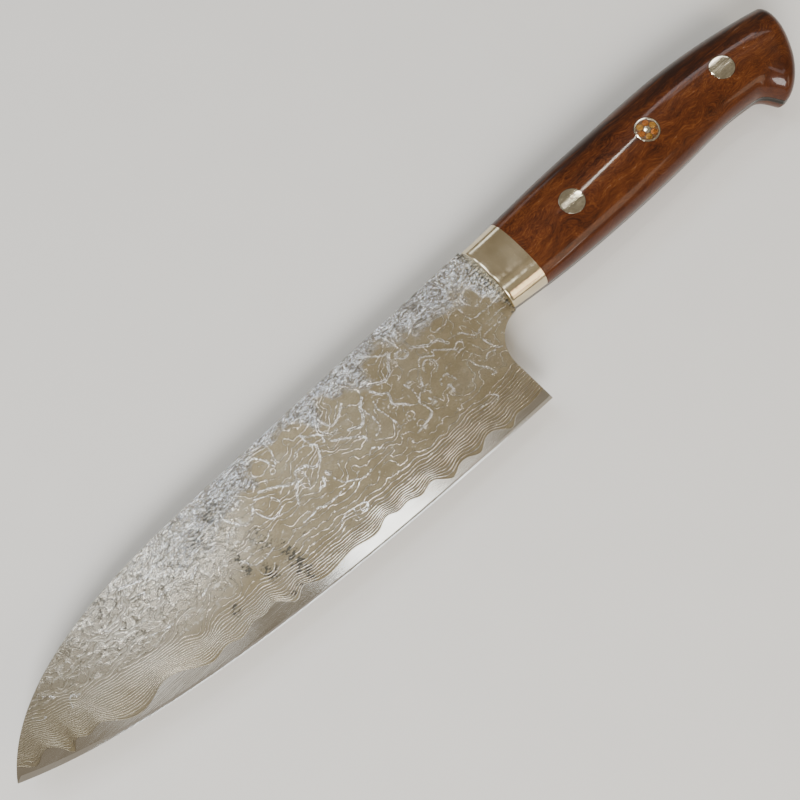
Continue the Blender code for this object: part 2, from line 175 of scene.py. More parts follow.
def spine_height(x):
    """Height of the spine at x: a straight slope from the bolster, then the swept curve."""
    straight = SPINE_RISE + x * math.tan(SPINE_SLOPE)
    swept = np.interp(x, spine_curve[::-1, 0], spine_curve[::-1, 1])
    return np.where(x > spine_turn[0], straight, swept)


def edge_height(x):
    """Height of the sharp edge at x, on the swept curve from the heel to the point."""
    return np.interp(x, edge_curve[::-1, 0], edge_curve[::-1, 1])


def wavy_height(x, side):
    """Height of the wavy line at x: the edge's height plus the spline through CLADDING_LINE."""
    line = np.array(CLADDING_LINE)
    if side < 0:
        line[:, 1] = line[::-1, 1]
    return edge_height(x) + smooth_heights(line, HEEL_X - x)


THIN_DOWN = (HALF_TANG - HEEL_EDGE_THICKNESS / 2) / float(spine_height(HEEL_X) + HEEL_DEPTH)
THIN_ALONG = (POINT_THICKNESS - HEEL_EDGE_THICKNESS) / 2 - THIN_DOWN * (HEEL_DEPTH - POINT_DEPTH)
THIN_ALONG /= POINT_X - HEEL_X


def half_thickness(x, y):
    """Half the blade's thickness at a place.

    The ground face is a plane that thins towards the edge and the point. It eases into the flat
    tang over the grind's run, and the sharpened face cuts in below it: a slope up from the edge.
    """
    ground = HEEL_EDGE_THICKNESS / 2 + THIN_DOWN * (y + HEEL_DEPTH) + THIN_ALONG * (x - HEEL_X)
    share = eased(np.clip((x + GRIND_START + GRIND_RUN) / GRIND_RUN, 0, 1))
    ground = ground + (HALF_TANG - ground) * share
    above_edge = np.maximum(y - edge_height(x), 0)
    return np.minimum(ground, EDGE_WIDTH / 2 + math.tan(SHARPENED_ANGLE) * above_edge)


def handle_ends(top_share, bottom_share):
    """Top and bottom points of the handle's outline: x goes evenly, y on each line's spline."""
    ends = []
    for points, share in ((HANDLE_TOP, top_share), (HANDLE_BOTTOM, bottom_share)):
        x = points[0][0] + (points[-1][0] - points[0][0]) * share
        ends.append(np.stack([x, smooth_heights(points, x)], axis=-1))
    return ends


def over_butt(top, bottom, angle):
    """Middles and half chords over the rounded butt, from its last section's top and bottom.

    The middles move out by the bulge times the sine of the angle, and the chords shorten by its
    cosine.
    """
    chord = top - bottom
    outward = np.array([chord[1], -chord[0]]) / np.hypot(*chord)
    return (top + bottom) / 2 + outward * BUTT_BULGE * np.sin(angle), np.cos(angle) * chord / 2


def cross_lines():
    """Feet and tops of the lines across the blade and tang that every layer is drawn on.

    Up to FAN_START the lines stand upright. From there the feet go on along the edge, up the
    heel's end and round the choil, while the tops go evenly along the spine, so that the lines
    fan round the heel. In the handle they go from its bottom line to its top line and on over
    the butt.
    """
    length = HEEL_X - POINT_X
    from_point = np.concatenate([
        POINT_FLAT + POINT_REACH * np.linspace(0, 1, 14)[:-1] ** 1.6,
        np.linspace(POINT_REACH + POINT_FLAT, length, round(length / STATION_GAP)),
    ])
    edge_x = POINT_X + from_point
    edge_feet = np.stack([edge_x, edge_height(edge_x)], axis=-1)
    lean = heading(HEEL_LEAN)
    up = np.array([-lean[1], lean[0]])
    climb = (HEEL_DEPTH - NECK_DEPTH - CHOIL_RADIUS * (1 + lean[1])) / lean[0]
    end_feet = heel + np.linspace(0, climb, 26)[1:, None] * up
    centre = heel + climb * up + CHOIL_RADIUS * lean
    turn = np.linspace(math.pi + HEEL_LEAN, math.acos(-centre[0] / CHOIL_RADIUS), 34)[1:]
    arc = centre + CHOIL_RADIUS * np.stack([np.cos(turn), np.sin(turn)], axis=-1)
    feet = np.concatenate([edge_feet, end_feet, arc])
    leaning = feet[:, 0] > FAN_START
    walk = np.concatenate([[0], np.cumsum(np.hypot(*np.diff(feet, axis=0).T))])
    top_x = feet[:, 0].copy()
    top_x[leaning] = FAN_START * (walk[-1] - walk[leaning]) / (walk[-1] - walk[leaning][0])
    tops = np.stack([top_x, spine_height(top_x)], axis=-1)

    along = np.linspace(0, 1, 90)
    starts = [(TANG_START - line[0][0]) / (line[-1][0] - line[0][0]) for line in (HANDLE_TOP, HANDLE_BOTTOM)]
    tang_tops, tang_feet = handle_ends(*(s + (1 - s) * along for s in starts))
    angle = np.radians(np.linspace(0, TANG_TURN, 22))[1:, None]
    middle, reach = over_butt(tang_tops[-1], tang_feet[-1], angle)
    tang_tops = np.concatenate([tang_tops, middle + reach])
    tang_feet = np.concatenate([tang_feet, middle - reach])
    middle = (tang_tops + tang_feet) / 2
    feet = np.concatenate([feet, middle + (tang_feet - middle) * TANG_FLUSH])
    tops = np.concatenate([tops, middle + (tang_tops - middle) * TANG_FLUSH])
    return feet, tops


feet, tops = cross_lines()
line_length = np.hypot(*(tops - feet).T)


def along_lines(share):
    """Places at given shares of each cross line: the foot plus the share of the whole line."""
    return feet[:, None] + share[..., None] * (tops - feet)[:, None]


def share_at_wave(side):
    """The share at which each cross line meets the wavy line, found by stepping up it to it."""
    share = np.zeros(len(feet))
    for _ in range(ROUNDS):
        x, y = (feet + share[:, None] * (tops - feet)).T
        share = np.clip(share + (wavy_height(x, side) - y) / (tops - feet)[:, 1], 0, 1)
    return np.where(feet[:, 0] < 0, share, 0)


def raised(place, out):
    """Points from places in the blade's plane and their distances out of it."""
    return np.concatenate([place, out[..., None]], axis=-1)


# The sharpened face ends where its slope meets the slope of the ground face
edge = edge_height(feet[:, 0])
bevel = half_thickness(feet[:, 0], edge + GROUND_PLACE) - THIN_DOWN * GROUND_PLACE
bevel = bevel / (math.tan(SHARPENED_ANGLE) - THIN_DOWN)
bevel = np.minimum(bevel, HIGHEST_BEVEL * (spine_height(feet[:, 0]) - edge))
bevel_share = np.clip((edge + bevel - feet[:, 1]) / line_length, 0, 1)
hair = CREASE_GAP / line_length


def loft(rings):
    """A closed body through rings with equally many points.

    Four-sided faces join each ring to the next and one many-sided face closes each end. Where
    the body's volume, a sixth of the sum of corner triple products, comes out negative, all its
    faces are turned round so that they point outwards.
    """
    rings = np.asarray(rings, float)
    count, around = rings.shape[:2]
    near = np.arange(count * around).reshape(count, around)
    far = np.roll(near, -1, axis=1)
    sides = np.stack([near[:-1], far[:-1], far[1:], near[1:]], axis=-1).reshape(-1, 4)
    corners = rings.reshape(-1, 3)
    a, b, c, d = (corners[sides[:, i]] - corners.mean(axis=0) for i in range(4))
    volume = (np.cross(a, b) * c).sum() + (np.cross(a, c) * d).sum()
    faces = sides.tolist() + [near[0][::-1].tolist(), near[-1].tolist()]
    if volume < 0:
        faces = [face[::-1] for face in faces]
    return corners, faces


def stand(name, data):
    """A new object in the scene."""
    thing = bpy.data.objects.new(name, data)
    bpy.context.scene.collection.objects.link(thing)
    return thing


def new_piece(name, body, finish, node, crease=30, fields=None):
    """One object from a closed body, at its place in the frame, riding on the knife.

    Edges that turn by more than the crease, in degrees, stay sharp. Fields are values for each
    point that the finish reads, each a list as long as the points.
    """
    corners, faces = body
    mesh = bpy.data.meshes.new(name)
    mesh.from_pydata(corners + DATUM, [], faces)
    for field, values in (fields or {}).items():
        kind, key = ("FLOAT_VECTOR", "vector") if np.ndim(values) == 2 else ("FLOAT", "value")
        mesh.attributes.new(field, kind, "POINT").data.foreach_set(key, np.ravel(values))
    mesh.shade_smooth()
    mesh.set_sharp_from_angle(angle=math.radians(crease))
    mesh.materials.append(finish)
    piece = stand(name, mesh)
    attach(piece, "root")
    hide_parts(node)


class Field:
    """A value at each place of a surface. The usual signs on fields add the nodes for them."""

    def __init__(self, socket):
        self.socket = socket

    def __add__(self, other):
        return calc("ADD", self, other)

    def __sub__(self, other):
        return calc("SUBTRACT", self, other)

    def __rsub__(self, other):
        return calc("SUBTRACT", other, self)

    def __mul__(self, other):
        return calc("MULTIPLY", self, other)

    def __truediv__(self, other):
        return calc("DIVIDE", self, other)

    def __abs__(self):
        return calc("ABSOLUTE", self)


def feed(node, inputs):
    """Links each input of a node to a field, or sets it to a value."""
    for key, value in inputs.items():
        socket = node.inputs[key]
        if isinstance(value, Field):
            socket.id_data.links.new(value.socket, socket)
        else:
            socket.default_value = (*value, 1) if socket.type == "RGBA" else value


def add_node(tree, kind, inputs, give=0, **settings):
    """The field that a new node gives, with its settings made and its inputs fed."""
    node = tree.nodes.new(kind)
    for key, value in settings.items():
        setattr(node, key, value)
    feed(node, inputs)
    return Field(node.outputs[give])


def calc(operation, *values):
    """The result of one piece of arithmetic on fields or numbers."""
    tree = next(each.socket.id_data for each in values if isinstance(each, Field))
    return add_node(tree, "ShaderNodeMath", dict(enumerate(values)), operation=operation)


def larger(first, second):
    """The larger of two values at each place."""
    return calc("MAXIMUM", first, second)


def vector_calc(operation, place, by, give=0):
    """The result of one piece of vector arithmetic; SCALE takes a number."""
    inputs = {0: place, "Scale" if operation == "SCALE" else 1: by}
    return add_node(place.socket.id_data, "ShaderNodeVectorMath", inputs, give, operation=operation)


def rise(value, low, high):
    """0 where value is below low and 1 above high, smooth between; falls where high is below low."""
    inputs = {"Value": value, "From Min": low, "From Max": high}
    if high < low:
        inputs = {"Value": value, "From Min": high, "From Max": low, "To Min": 1.0, "To Max": 0.0}
    return add_node(value.socket.id_data, "ShaderNodeMapRange", inputs, interpolation_type="SMOOTHSTEP")


def blend(factor, first, second):
    """Two colours mixed by a factor."""
    inputs = {0: factor, 6: first, 7: second}
    return add_node(factor.socket.id_data, "ShaderNodeMix", inputs, 2, data_type="RGBA")


def coated(colour, *coats):
    """A colour with other colours laid over it in turn, each by its own factor."""
    for factor, coat in coats:
        colour = blend(factor, colour, coat)
    return colour


def places(tree):
    """Where each place of the surface lies in the frame, in metres."""
    return add_node(tree, "ShaderNodeTexCoord", {}, "Object")


def attribute(tree, name, give="Vector"):
    """What a piece gives for each of its points under a name."""
    return add_node(tree, "ShaderNodeAttribute", {}, give, attribute_name=name)


def parts(vector):
    """The three numbers of a vector."""
    first = add_node(vector.socket.id_data, "ShaderNodeSeparateXYZ", {0: vector})
    return [Field(socket) for socket in first.socket.node.outputs]


def stretched_noise(tree, stretch, detail=2.0, roughness=0.5, place=None, offset=(0, 0, 0), give=0):
    """Noise over places; stretch is its number of features a metre each way, offset moves it."""
    inputs = {"Vector": place or places(tree), "Scale": stretch, "Location": offset}
    inputs = {"Vector": add_node(tree, "ShaderNodeMapping", inputs), "Scale": 1.0}
    inputs |= {"Detail": detail, "Roughness": roughness}
    return add_node(tree, "ShaderNodeTexNoise", inputs, give)


def mottled(tree, stretch, detail, span, dark, light):
    """Two tones in soft patches: noise picks between them over its span."""
    return blend(rise(stretched_noise(tree, stretch, detail), *span), dark, light)


def emboss(shader, height, strength, distance):
    """Raises the surface under a shader by a height, on top of what was raised before."""
    inputs = {"Height": height, "Strength": strength, "Distance": distance}
    for link in shader.inputs["Normal"].links:
        inputs["Normal"] = Field(link.from_socket)
    feed(shader, {"Normal": add_node(shader.id_data, "ShaderNodeBump", inputs)})


def new_finish(name, metallic=0.0):
    """A material, its tree and the Principled shader in it."""
    finish = bpy.data.materials.new(name)
    finish.use_nodes = True
    shader = finish.node_tree.nodes["Principled BSDF"]
    feed(shader, {"Metallic": metallic})
    return finish, finish.node_tree, shader


# Fine parallel lines that grinding and buffing leave, with faint cloudy smears between them
polishing_lines = bpy.data.node_groups.new("polishing_lines", "ShaderNodeTree")
for name, end, kind in (
    ("Features", "INPUT", "Vector"),
    ("Depth", "INPUT", "Float"),
    ("Lines", "OUTPUT", "Float"),
    ("Smears", "OUTPUT", "Float"),
):
    polishing_lines.interface.new_socket(name=name, in_out=end, socket_type="NodeSocket" + kind)
features, depth = [Field(socket) for socket in polishing_lines.nodes.new("NodeGroupInput").outputs][:2]
scaled = vector_calc("MULTIPLY", places(polishing_lines), features)
streaks = add_node(polishing_lines, "ShaderNodeTexNoise", {"Vector": scaled, "Scale": 1.0, "Detail": 3.0})
smears = rise(stretched_noise(polishing_lines, (70, 110, 110), 3), 0.35, 0.7)
feed(polishing_lines.nodes.new("NodeGroupOutput"), {"Lines": (streaks - 0.5) * depth, "Smears": smears})


def with_polish(shader, features, depth, roughness, bump=0.02):
    """Lines and smears into a shader's roughness and its surface; returns the two."""
    inputs = {"Features": features, "Depth": depth}
    lines = add_node(shader.id_data, "ShaderNodeGroup", inputs, "Lines", node_tree=polishing_lines)
    smears = Field(lines.socket.node.outputs["Smears"])
    feed(shader, {"Roughness": lines * 0.25 + smears * (roughness[1] - roughness[0]) + roughness[0]})
    emboss(shader, lines, bump, 0.001)
    return lines, smears


def tang_painted_dark(tree):
    """1 where the steel lies between the handle's halves, where a painted shade darkens it so that it shows
    no pale reflection.
    """
    return rise(parts(places(tree))[0], DATUM[0] + 0.0002, DATUM[0] + 0.0006)


core_steel, tree, shader = new_finish("satin_core_steel", metallic=1.0)
lines = with_polish(shader, (45.0, 5200.0, 5200.0), 0.6, (0.075, 0.12))[0]
steel = coated(
    mottled(tree, (55, 260, 260), 4, (0.3, 0.7), (0.62, 0.59, 0.53), (0.70, 0.68, 0.63)),
    (lines * 0.8, (0.86, 0.85, 0.82)),
    (attribute(tree, "sharpened", "Fac"), (0.93, 0.93, 0.92)),
    # painted shade on the tang between the handle's halves
    (tang_painted_dark(tree), (0.05, 0.045, 0.04)),
)
feed(shader, {"Base Color": steel})


def core_rows(side):
    """One side of the core as shares of the cross lines, distances out and the sharpened mask.

    It goes up the sharpened face and the ground face to the wavy line, in to the core's own
    share of the thickness, and on to the spine.
    """
    wave = np.clip(np.maximum(share_at_wave(side), bevel_share + 3 * hair), 0, 1 - 3 * hair)
    rows = [0 * wave, bevel_share, bevel_share + hair, wave]
    shares = np.stack(rows + [wave + (1 - wave) * s for s in np.linspace(0, 1, 6)], axis=-1)
    place = along_lines(shares)
    out = half_thickness(place[..., 0], place[..., 1])
    bare = share_at_wave(side) > 0
    out[:, :4] = np.where(bare[:, None], out[:, :4], CORE_SHARE * out[:, :4])
    out[:, 4:] *= CORE_SHARE
    sharpened = np.zeros(shares.shape)
    sharpened[:, :2] = (bevel_share > hair)[:, None]
    return raised(place, side * out), sharpened


left_rows, left_sharpened = core_rows(1)
right_rows, right_sharpened = core_rows(-1)
new_piece(
    "hard_core",
    loft(np.concatenate([left_rows, right_rows[:, ::-1]], axis=1)),
    core_steel,
    "blade_core",
    fields={"sharpened": np.concatenate([left_sharpened, right_sharpened[:, ::-1]], axis=1).ravel()},
)

# Claddings
# The softer outer layer on each side: thin sheets of nickel and stainless steel, welded into one,
# hammered uneven and ground flat, so that each sheet comes out as a wandering line. Etching
# leaves the nickel bright and standing proud, and the steel between it dull and brown.
CLADDING_ROWS = 146
ROW_CROWDING = 1.35  # rows lie closer together towards the wavy line
MM = 1000.0  # the pattern is laid out in millimetres
WAVE_LEVEL = 3.8  # millimetres above the edge at which the wavy line runs on the whole
WAVE_FADES = 3.6  # millimetres above the wavy line over which the layers forget its shape
DARK_BAND = 0.35  # millimetres of plain steel right above the wavy line
FIRST_SHEET = -0.2  # the count at the wavy line
SHEET_RELIEF = 0.000012
RIDGE_RELIEF = 0.000015
TANG_EASE = 0.00006  # the same easing on the tang, which lies flush with the handle
RELIEF_FADE = 1 / 60  # of a cross line, over which the relief fades at both its ends
BOLSTER_FADE = 0.001  # over which the relief fades towards the bolster
LEAST_WALL = 0.00002  # of the cladding, where its spine is eased
LEAST_HEIGHT = 14  # crease gaps; the lines by the point with less cladding on them are left out
BOLSTER_SHADE = 2.2  # millimetres of painted shade ahead of the bolster
SEEDS = {1: (11, 5), -1: (47, 29)}  # of each side's random numbers, for its sheets and its tones
RIDGE_REACH = 3  # millimetres beside a ridge over which its distance is measured
FAR_AWAY = 9.0  # millimetres, for every distance further off
LEAN_STEP = 0.0001  # over which the wavy line's lean is taken
MIRROR_SUM = -178  # a place's x and the x it has on the other side add up to this
# How the sheets crowd above the wavy line: x, sheets to a millimetre low down, how far up that
# goes, sheets to a millimetre above that, and how much further up they still follow one another
CROWDING = (
    (-192, 1.50, 12.0, 0.60, 0), (-165, 1.60, 12.5, 0.50, 0), (-140, 1.70, 11.0, 0.36, 0),
    (-118, 1.35, 8.0, 0.30, 2), (-98, 1.40, 6.5, 0.45, 6), (-80, 1.65, 5.2, 0.48, 10),
    (-62, 1.60, 6.0, 0.42, 6), (-50, 1.45, 8.5, 0.20, 0), (-20, 1.35, 9.5, 0.16, 0),
    (0, 1.20, 9.0, 0.14, 0),
)  # fmt: skip
# Where the hammer has crumpled the sheets: x, and the height from which it has
CRUMPLED_ABOVE = (
    (-192, -10), (-172, -3), (-160, 1.5), (-150, 2.5), (-138, 1), (-128, -4), (-120, -5),
    (-110, -3), (-102, 1.5), (-95, 0.5), (-90, 3), (-84, 6.5), (-78, 4.5), (-72, 7.5), (-66, 2.5),
    (-61, 6), (-54, 4.0), (-47, 0.8), (-42, 6.5), (-36, 8), (-32, 4), (-27, 2), (-20, 1.5),
    (-12, 1), (-6, 3), (-4, -4), (0, -6),
)  # fmt: skip
# How much of the crumpling shows along the blade, less towards the point
CALM = ((-150, 0.1), (-128, 0.18), (-112, 0.5), (-98, 1))
# Hills in the layers, which come out as rings: x, y, half widths, and height in sheets
HILLS = (
    (-17, -3, 6, 3.5, -0.8), (-35, -15, 6, 5, 0.7), (-24, -15, 5, 4, -0.7), (-14, -17, 2, 1.5, 1.1),
    (-38, -2, 2.5, 2, 0.9), (-61, 3, 2.5, 1.5, 1.0), (-68, -9, 6, 5, -0.8), (-51, -14, 5, 4, 0.6),
    (-91.5, -6, 2.4, 2.8, 0.8), (-85, 4, 3.0, 2.6, -1.1), (-103, -20, 2.4, 2, 1.6),
    (-114, -17, 3, 4, 1.4), (-128, -21, 3.6, 3.2, 2.6), (-135, -12, 4, 3, 0.8),
    (-157, -1, 2.4, 2.2, 1.2), (-145, -1, 3, 2.6, 1.1), (-164, -11, 2.6, 2.2, 1.7),
    (-174, -8, 3, 2.5, 1.1), (-184, -13.5, 2.2, 1.8, -1.2), (-77, -25, 3, 1.4, -1.2),
    (-105, 2, 3, 3, 1.2), (-122, 2, 3.4, 2.6, -1.2), (-115, -9, 3, 3, 1.0), (-99, -10, 3, 2.4, -1.0),
)  # fmt: skip
# Ridges where a proud nickel sheet runs level with the surface: half width, then x, y along it
RIDGES = (
    (0.42, (-30.5, 0.5), (-28, -1.2), (-26, -2.6), (-24, -2.6), (-22.6, -3.6), (-21.4, -6)),
    (0.22, (-26.2, -4.4), (-23.6, -6.7), (-21.4, -8.5)),
    (0.22, (-21.4, -9.8), (-20.6, -8.2), (-19.2, -7.6), (-18.2, -8.6), (-19, -10), (-20.9, -10.1)),
    (0.24, (-20.4, -5.3), (-17.6, -5.8), (-16, -7), (-14.8, -8.8), (-13.2, -9.8), (-11.8, -9.2)),
    (0.12, (-11.8, -9.2), (-8, -9.3), (-4.5, -9), (0, -9.4)),
    (0.20, (-21.5, -0.9), (-18, -1.1), (-15.5, -0.1), (-13.4, 0), (-12, -1), (-12, -4)),
    (0.20, (-12, -4), (-10.8, -5.6), (-8, -5.8), (-4, -6), (0, -5.6)),
    (0.36, (-9.4, 1.4), (-8, 2.2), (-5.8, 2.5), (-4, 2.3), (-2.9, 0.4)),
    (0.16, (-9.6, -0.3), (-8.6, -2.4), (-6.8, -3.4), (-4, -2.8), (-1, -3.1)),
    (0.14, (-12, -11.4), (-8, -11.3), (-4, -11.8)),
    (0.20, (-35.6, -10.2), (-33.5, -7), (-31, -3.8), (-29, -4.5), (-27, -6), (-26.6, -4.4)),
    (0.20, (-32.4, -8), (-31.5, -6), (-29.8, -5.3), (-28.2, -6.5), (-28, -8.6), (-29.8, -9.8)),
    (0.22, (-35.6, -9.6), (-37.2, -11.2), (-39.6, -13.5), (-39, -15.5), (-39.6, -18.4), (-46, -19.6)),
    (0.22, (-39.5, -6.2), (-38.6, -9), (-38.8, -11), (-39.8, -13.4)),
    (0.34, (-48, -1), (-46.4, -3.8), (-44.4, -5.2), (-45.6, -8.4), (-44, -9.8), (-42, -12.2)),
    (0.42, (-47.2, 0.6), (-44.6, -0.9), (-42.5, -1.8), (-40, -0.8), (-38.4, 1.4), (-36.2, 3.4)),
    (0.26, (-36.2, 3.4), (-38.5, 4.6), (-40.5, 6), (-42.6, 8.2)),
    (0.26, (-33.9, 7.5), (-33.4, 4.5), (-33.2, 3)),
    (0.38, (-35.6, 1), (-34.4, 2), (-32.8, 1.4), (-32, 0.2), (-33, -0.6), (-34.8, 0)),
    (0.20, (-31.5, -14.4), (-31, -12.8), (-29.5, -12.3), (-27.8, -12.6), (-27.2, -15.6)),
    (0.30, (-30.9, -15.8), (-29.8, -15.2), (-29.6, -16.8), (-30.6, -18.6)),
    (0.26, (-36.8, -14.4), (-36, -16.2), (-37.4, -16.5)),
    (0.22, (-16.6, -17), (-15, -16.2), (-12.8, -16.8)),
    (0.28, (-20.4, -14), (-20, -16.4), (-18.6, -18.4), (-17.2, -21.6), (-18.6, -21.6)),
    (0.26, (-13.2, -12), (-12.8, -14.2), (-11.6, -16.8), (-10.4, -17.4)),
    (0.16, (-24.2, -24.8), (-21.8, -27), (-23.4, -28.2), (-26, -26.7), (-29.4, -26.2)),
    (0.20, (-94.9, -4), (-94.9, -6), (-94, -8.3), (-92.6, -10), (-90.4, -10), (-88.5, -9)),
    (0.20, (-88.5, -9), (-88.3, -6.6), (-89.6, -4.4), (-91.4, -3), (-93.6, -2.4), (-94.9, -4)),
    (0.26, (-91, -1.4), (-88, -2.6), (-85.5, -4.2), (-83, -6), (-80.8, -6.2), (-79.6, -4.4)),
    (0.38, (-79.6, -4.4), (-77.8, -4.3), (-76, -4.9), (-74.8, -6.7), (-72.4, -6.8), (-70.4, -4.4)),
    (0.20, (-70.4, -4.4), (-69.6, -2.6), (-71, -1.6), (-72.6, -0.3), (-74.6, 0), (-77.4, -0.9)),
    (0.36, (-79.8, -5), (-81, -7), (-82.8, -8.8), (-84.6, -11.6)),
    (0.20, (-77.6, -5.2), (-78, -8), (-79, -10.6)),
    (0.18, (-80, -6.4), (-80.3, -9.6)),
    (0.20, (-71.4, 3), (-71.1, 0), (-69.8, -2.6)),
    (0.30, (-71.6, 2.8), (-70, 1), (-67.6, -0.2), (-66.9, -1.8), (-67.4, -3.4)),
    (0.44, (-65, 4.5), (-65.6, 2), (-66.8, 0), (-65.5, -2), (-63.8, -3.2), (-62.4, -3.1)),
    (0.32, (-64.4, 2.3), (-63.6, -0.2), (-62.2, -1.4), (-59.6, -0.6), (-56.4, 1.6)),
    (0.30, (-66, -4.3), (-63.5, -6), (-61, -7.6), (-59.4, -8.8), (-58, -10.2), (-58.4, -11.6)),
    (0.44, (-60, -5.6), (-58, -6.4), (-56, -7), (-54.3, -5.2), (-53, -2.6), (-51, -1)),
    (0.22, (-53.2, -4), (-52.4, -8), (-53, -11), (-55.4, -12)),
    (0.22, (-48.4, -13.8), (-49.2, -9.5), (-49.7, -6), (-49, -3.6)),
    (0.24, (-80.3, 9.5), (-80.6, 4), (-82, 1)),
    (0.20, (-87.4, 7.6), (-85, 6.4), (-83.6, 4), (-82.6, 1)),
    (0.20, (-73, -9.8), (-72.4, -13), (-71.2, -15.6), (-69, -17.1), (-66, -18.6), (-62.6, -18.4)),
    (0.20, (-61, -15.2), (-59, -14), (-57.4, -14.8), (-56.2, -16.4)),
    (0.16, (-80.2, -25), (-78.6, -23.4), (-76, -22.8), (-74.4, -23.3), (-75, -25.6), (-74.4, -26.8)),
    (0.22, (-73, -24.6), (-72, -23.6), (-70.6, -24), (-70.4, -25.2), (-72, -25.9), (-73, -24.9)),
    (0.18, (-87, -16.7), (-83.5, -16.6), (-81, -16.3), (-79.6, -17.4), (-76, -17.6), (-72, -17.2)),
    (0.34, (-77.4, -12.3), (-75.6, -12.6), (-74.6, -10.6)),
    (0.34, (-138, 4.8), (-133, 3), (-130, 1.8), (-125, 3), (-120, 5.4)),
    (0.50, (-117.6, -1.8), (-115, -1.9), (-112.6, -1.9)),
    (0.44, (-136.4, 0.1), (-134, -0.9), (-132.8, -1.3)),
    (0.40, (-130, -5.4), (-128.4, -4.7), (-126.8, -5.1)),
    (0.40, (-120.2, -7), (-118, -6), (-116.6, -5.8)),
    (0.30, (-121, -12.7), (-119, -12.1)),
    (0.28, (-102.6, 1.2), (-103, -1), (-101.6, -3.4), (-100, -5.6), (-97, -5.8), (-95, -3.6)),
    (0.30, (-106.6, -6.4), (-104.6, -4.6)),
    (0.20, (-106.8, -13), (-105.4, -16), (-102, -16.8), (-98, -16.2)),
    (0.24, (-166, -11.6), (-165.8, -10), (-164.5, -9), (-163.4, -10.3), (-162.6, -10.2)),
    (0.26, (-147.4, -1), (-146.6, -2.3), (-145.6, -3)),
    (0.26, (-170.6, -4), (-169, -5), (-168.4, -6.2)),
    (0.20, (-176, -6.6), (-174.6, -8.4), (-172.8, -8.8)),
    (0.20, (-140, -11), (-137, -11.8), (-134, -13), (-132, -13)),
)  # fmt: skip
# Painted shade in hollows that face away from the light: x, y, half widths and depth
SHADED_HOLLOWS = (
    (-95.5, -24, 2.4, 7.5, 0.9), (-103, -20.5, 2.4, 3.2, 0.8), (-117, -22, 1.6, 2.6, 0.5),
    (-104, 3.5, 4.0, 3.6, 0.6), (-101, -28.6, 4.4, 1.6, 0.6), (-107.5, -13, 2.2, 5.5, 0.5),
    (-88.5, -18.5, 1.6, 1.0, 0.6), (-99, -12, 4.0, 6.0, 0.35), (-112, 0, 5.0, 4.0, 0.4),
)  # fmt: skip
# How plainly the sheets show along the blade, less towards the point
PLAINNESS = (
    (-192, 0.12), (-165, 0.2), (-150, 0.33), (-125, 0.45), (-108, 0.6), (-92, 1.0), (-42, 1.0),
    (-24, 0.75), (-12, 0.45), (0, 0.45),
)  # fmt: skip
# Painted reflection: how pale the steel between the sheets is painted along the blade, palest in the middle
# where the blade mirrors most light
PAINTED_PALENESS = ((-192, 0.2), (-172, 0.2), (-160, 0.5), (-145, 0.95), (-112, 0.9), (-100, 0.3), (-92, 0), (0, 0))


def drift(x, y, cell, seed):
    """Smooth random heights from -1 to 1.

    Random numbers stand on a square lattice of that cell, in millimetres, and each place blends
    the four round it by its eased shares of the cell.
    """
    table = np.random.default_rng(seed).uniform(-1, 1, (128, 128))
    u, v = x / cell + 500, y / cell + 500
    column, row = np.floor(u).astype(int), np.floor(v).astype(int)
    s, t = eased(u - column), eased(v - row)
    corner = [table[(row + j) % 128, (column + i) % 128] for j in (0, 1) for i in (0, 1)]
    low = corner[0] + (corner[1] - corner[0]) * s
    high = corner[2] + (corner[3] - corner[2]) * s
    return low + (high - low) * t


def other_side(x, side):
    """The right side was hammered on its own: its hills and ridges lie the other way round."""
    return x if side > 0 else MIRROR_SUM - x


def read_off(table, x, column=1):
    """A table's value at x, on the straight lines between its rows."""
    table = np.array(table, float)
    return np.interp(x, table[:, 0], table[:, column])


def hump(x, y, side, spot, power=1.0):
    """A round hump of height 1 at a spot: e to the minus squared distance, in half widths."""
    middle_x, middle_y, half_x, half_y = spot
    away = ((x - other_side(middle_x, side)) / half_x) ** 2 + ((y - middle_y) / half_y) ** 2
    return np.exp(-(away**power))


def sheet_number(x, y, side):
    """Which sheet lies at the surface, counted up from the wavy line, at x and y in millimetres.

    The count climbs at a steady rate low down and a slower one further up, with a soft change
    between (the integral of a logistic step). The wavy line's own shape fades upwards, and
    random drift and the hills are added where the sheets are far apart.
    """
    wave = wavy_height(x / MM, side) * MM
    level = edge_height(x / MM) * MM + WAVE_LEVEL
    above = np.maximum(y - wave, 0)
    settled = y - level - (wave - level) * np.exp(-above / WAVE_FADES)
    settled = np.maximum(settled - DARK_BAND, 0)
    low_rate, reach, high_rate, orderly = (read_off(CROWDING, x, column) for column in range(1, 5))
    soft, softer = 1.4, 1.8  # millimetres over which the rate changes, and the order is lost
    spread = soft * (np.logaddexp(0, (settled - reach) / soft) - np.logaddexp(0, -reach / soft))
    count = high_rate * settled + (low_rate - high_rate) * (settled - spread)
    loose = 1 / (1 + np.exp(-(settled - reach - orderly) / softer))
    seed = SEEDS[side][0]
    count += 0.42 * np.minimum(settled / 2, 1) * drift(x, y, 3.6, seed) * (1 - loose)
    count += 0.20 * np.minimum(settled / 2, 1) * drift(x, y * 2, 1.7, seed + 1)
    wander = 1.25 * drift(x, y, 6.5, seed + 2) + 0.75 * drift(x, y, 2.9, seed + 3)
    count += loose * (wander + 0.30 * drift(x, y, 1.4, seed + 4))
    for *hill, lift in HILLS:
        count += lift * hump(x, y, side, hill)
    return count + FIRST_SHEET


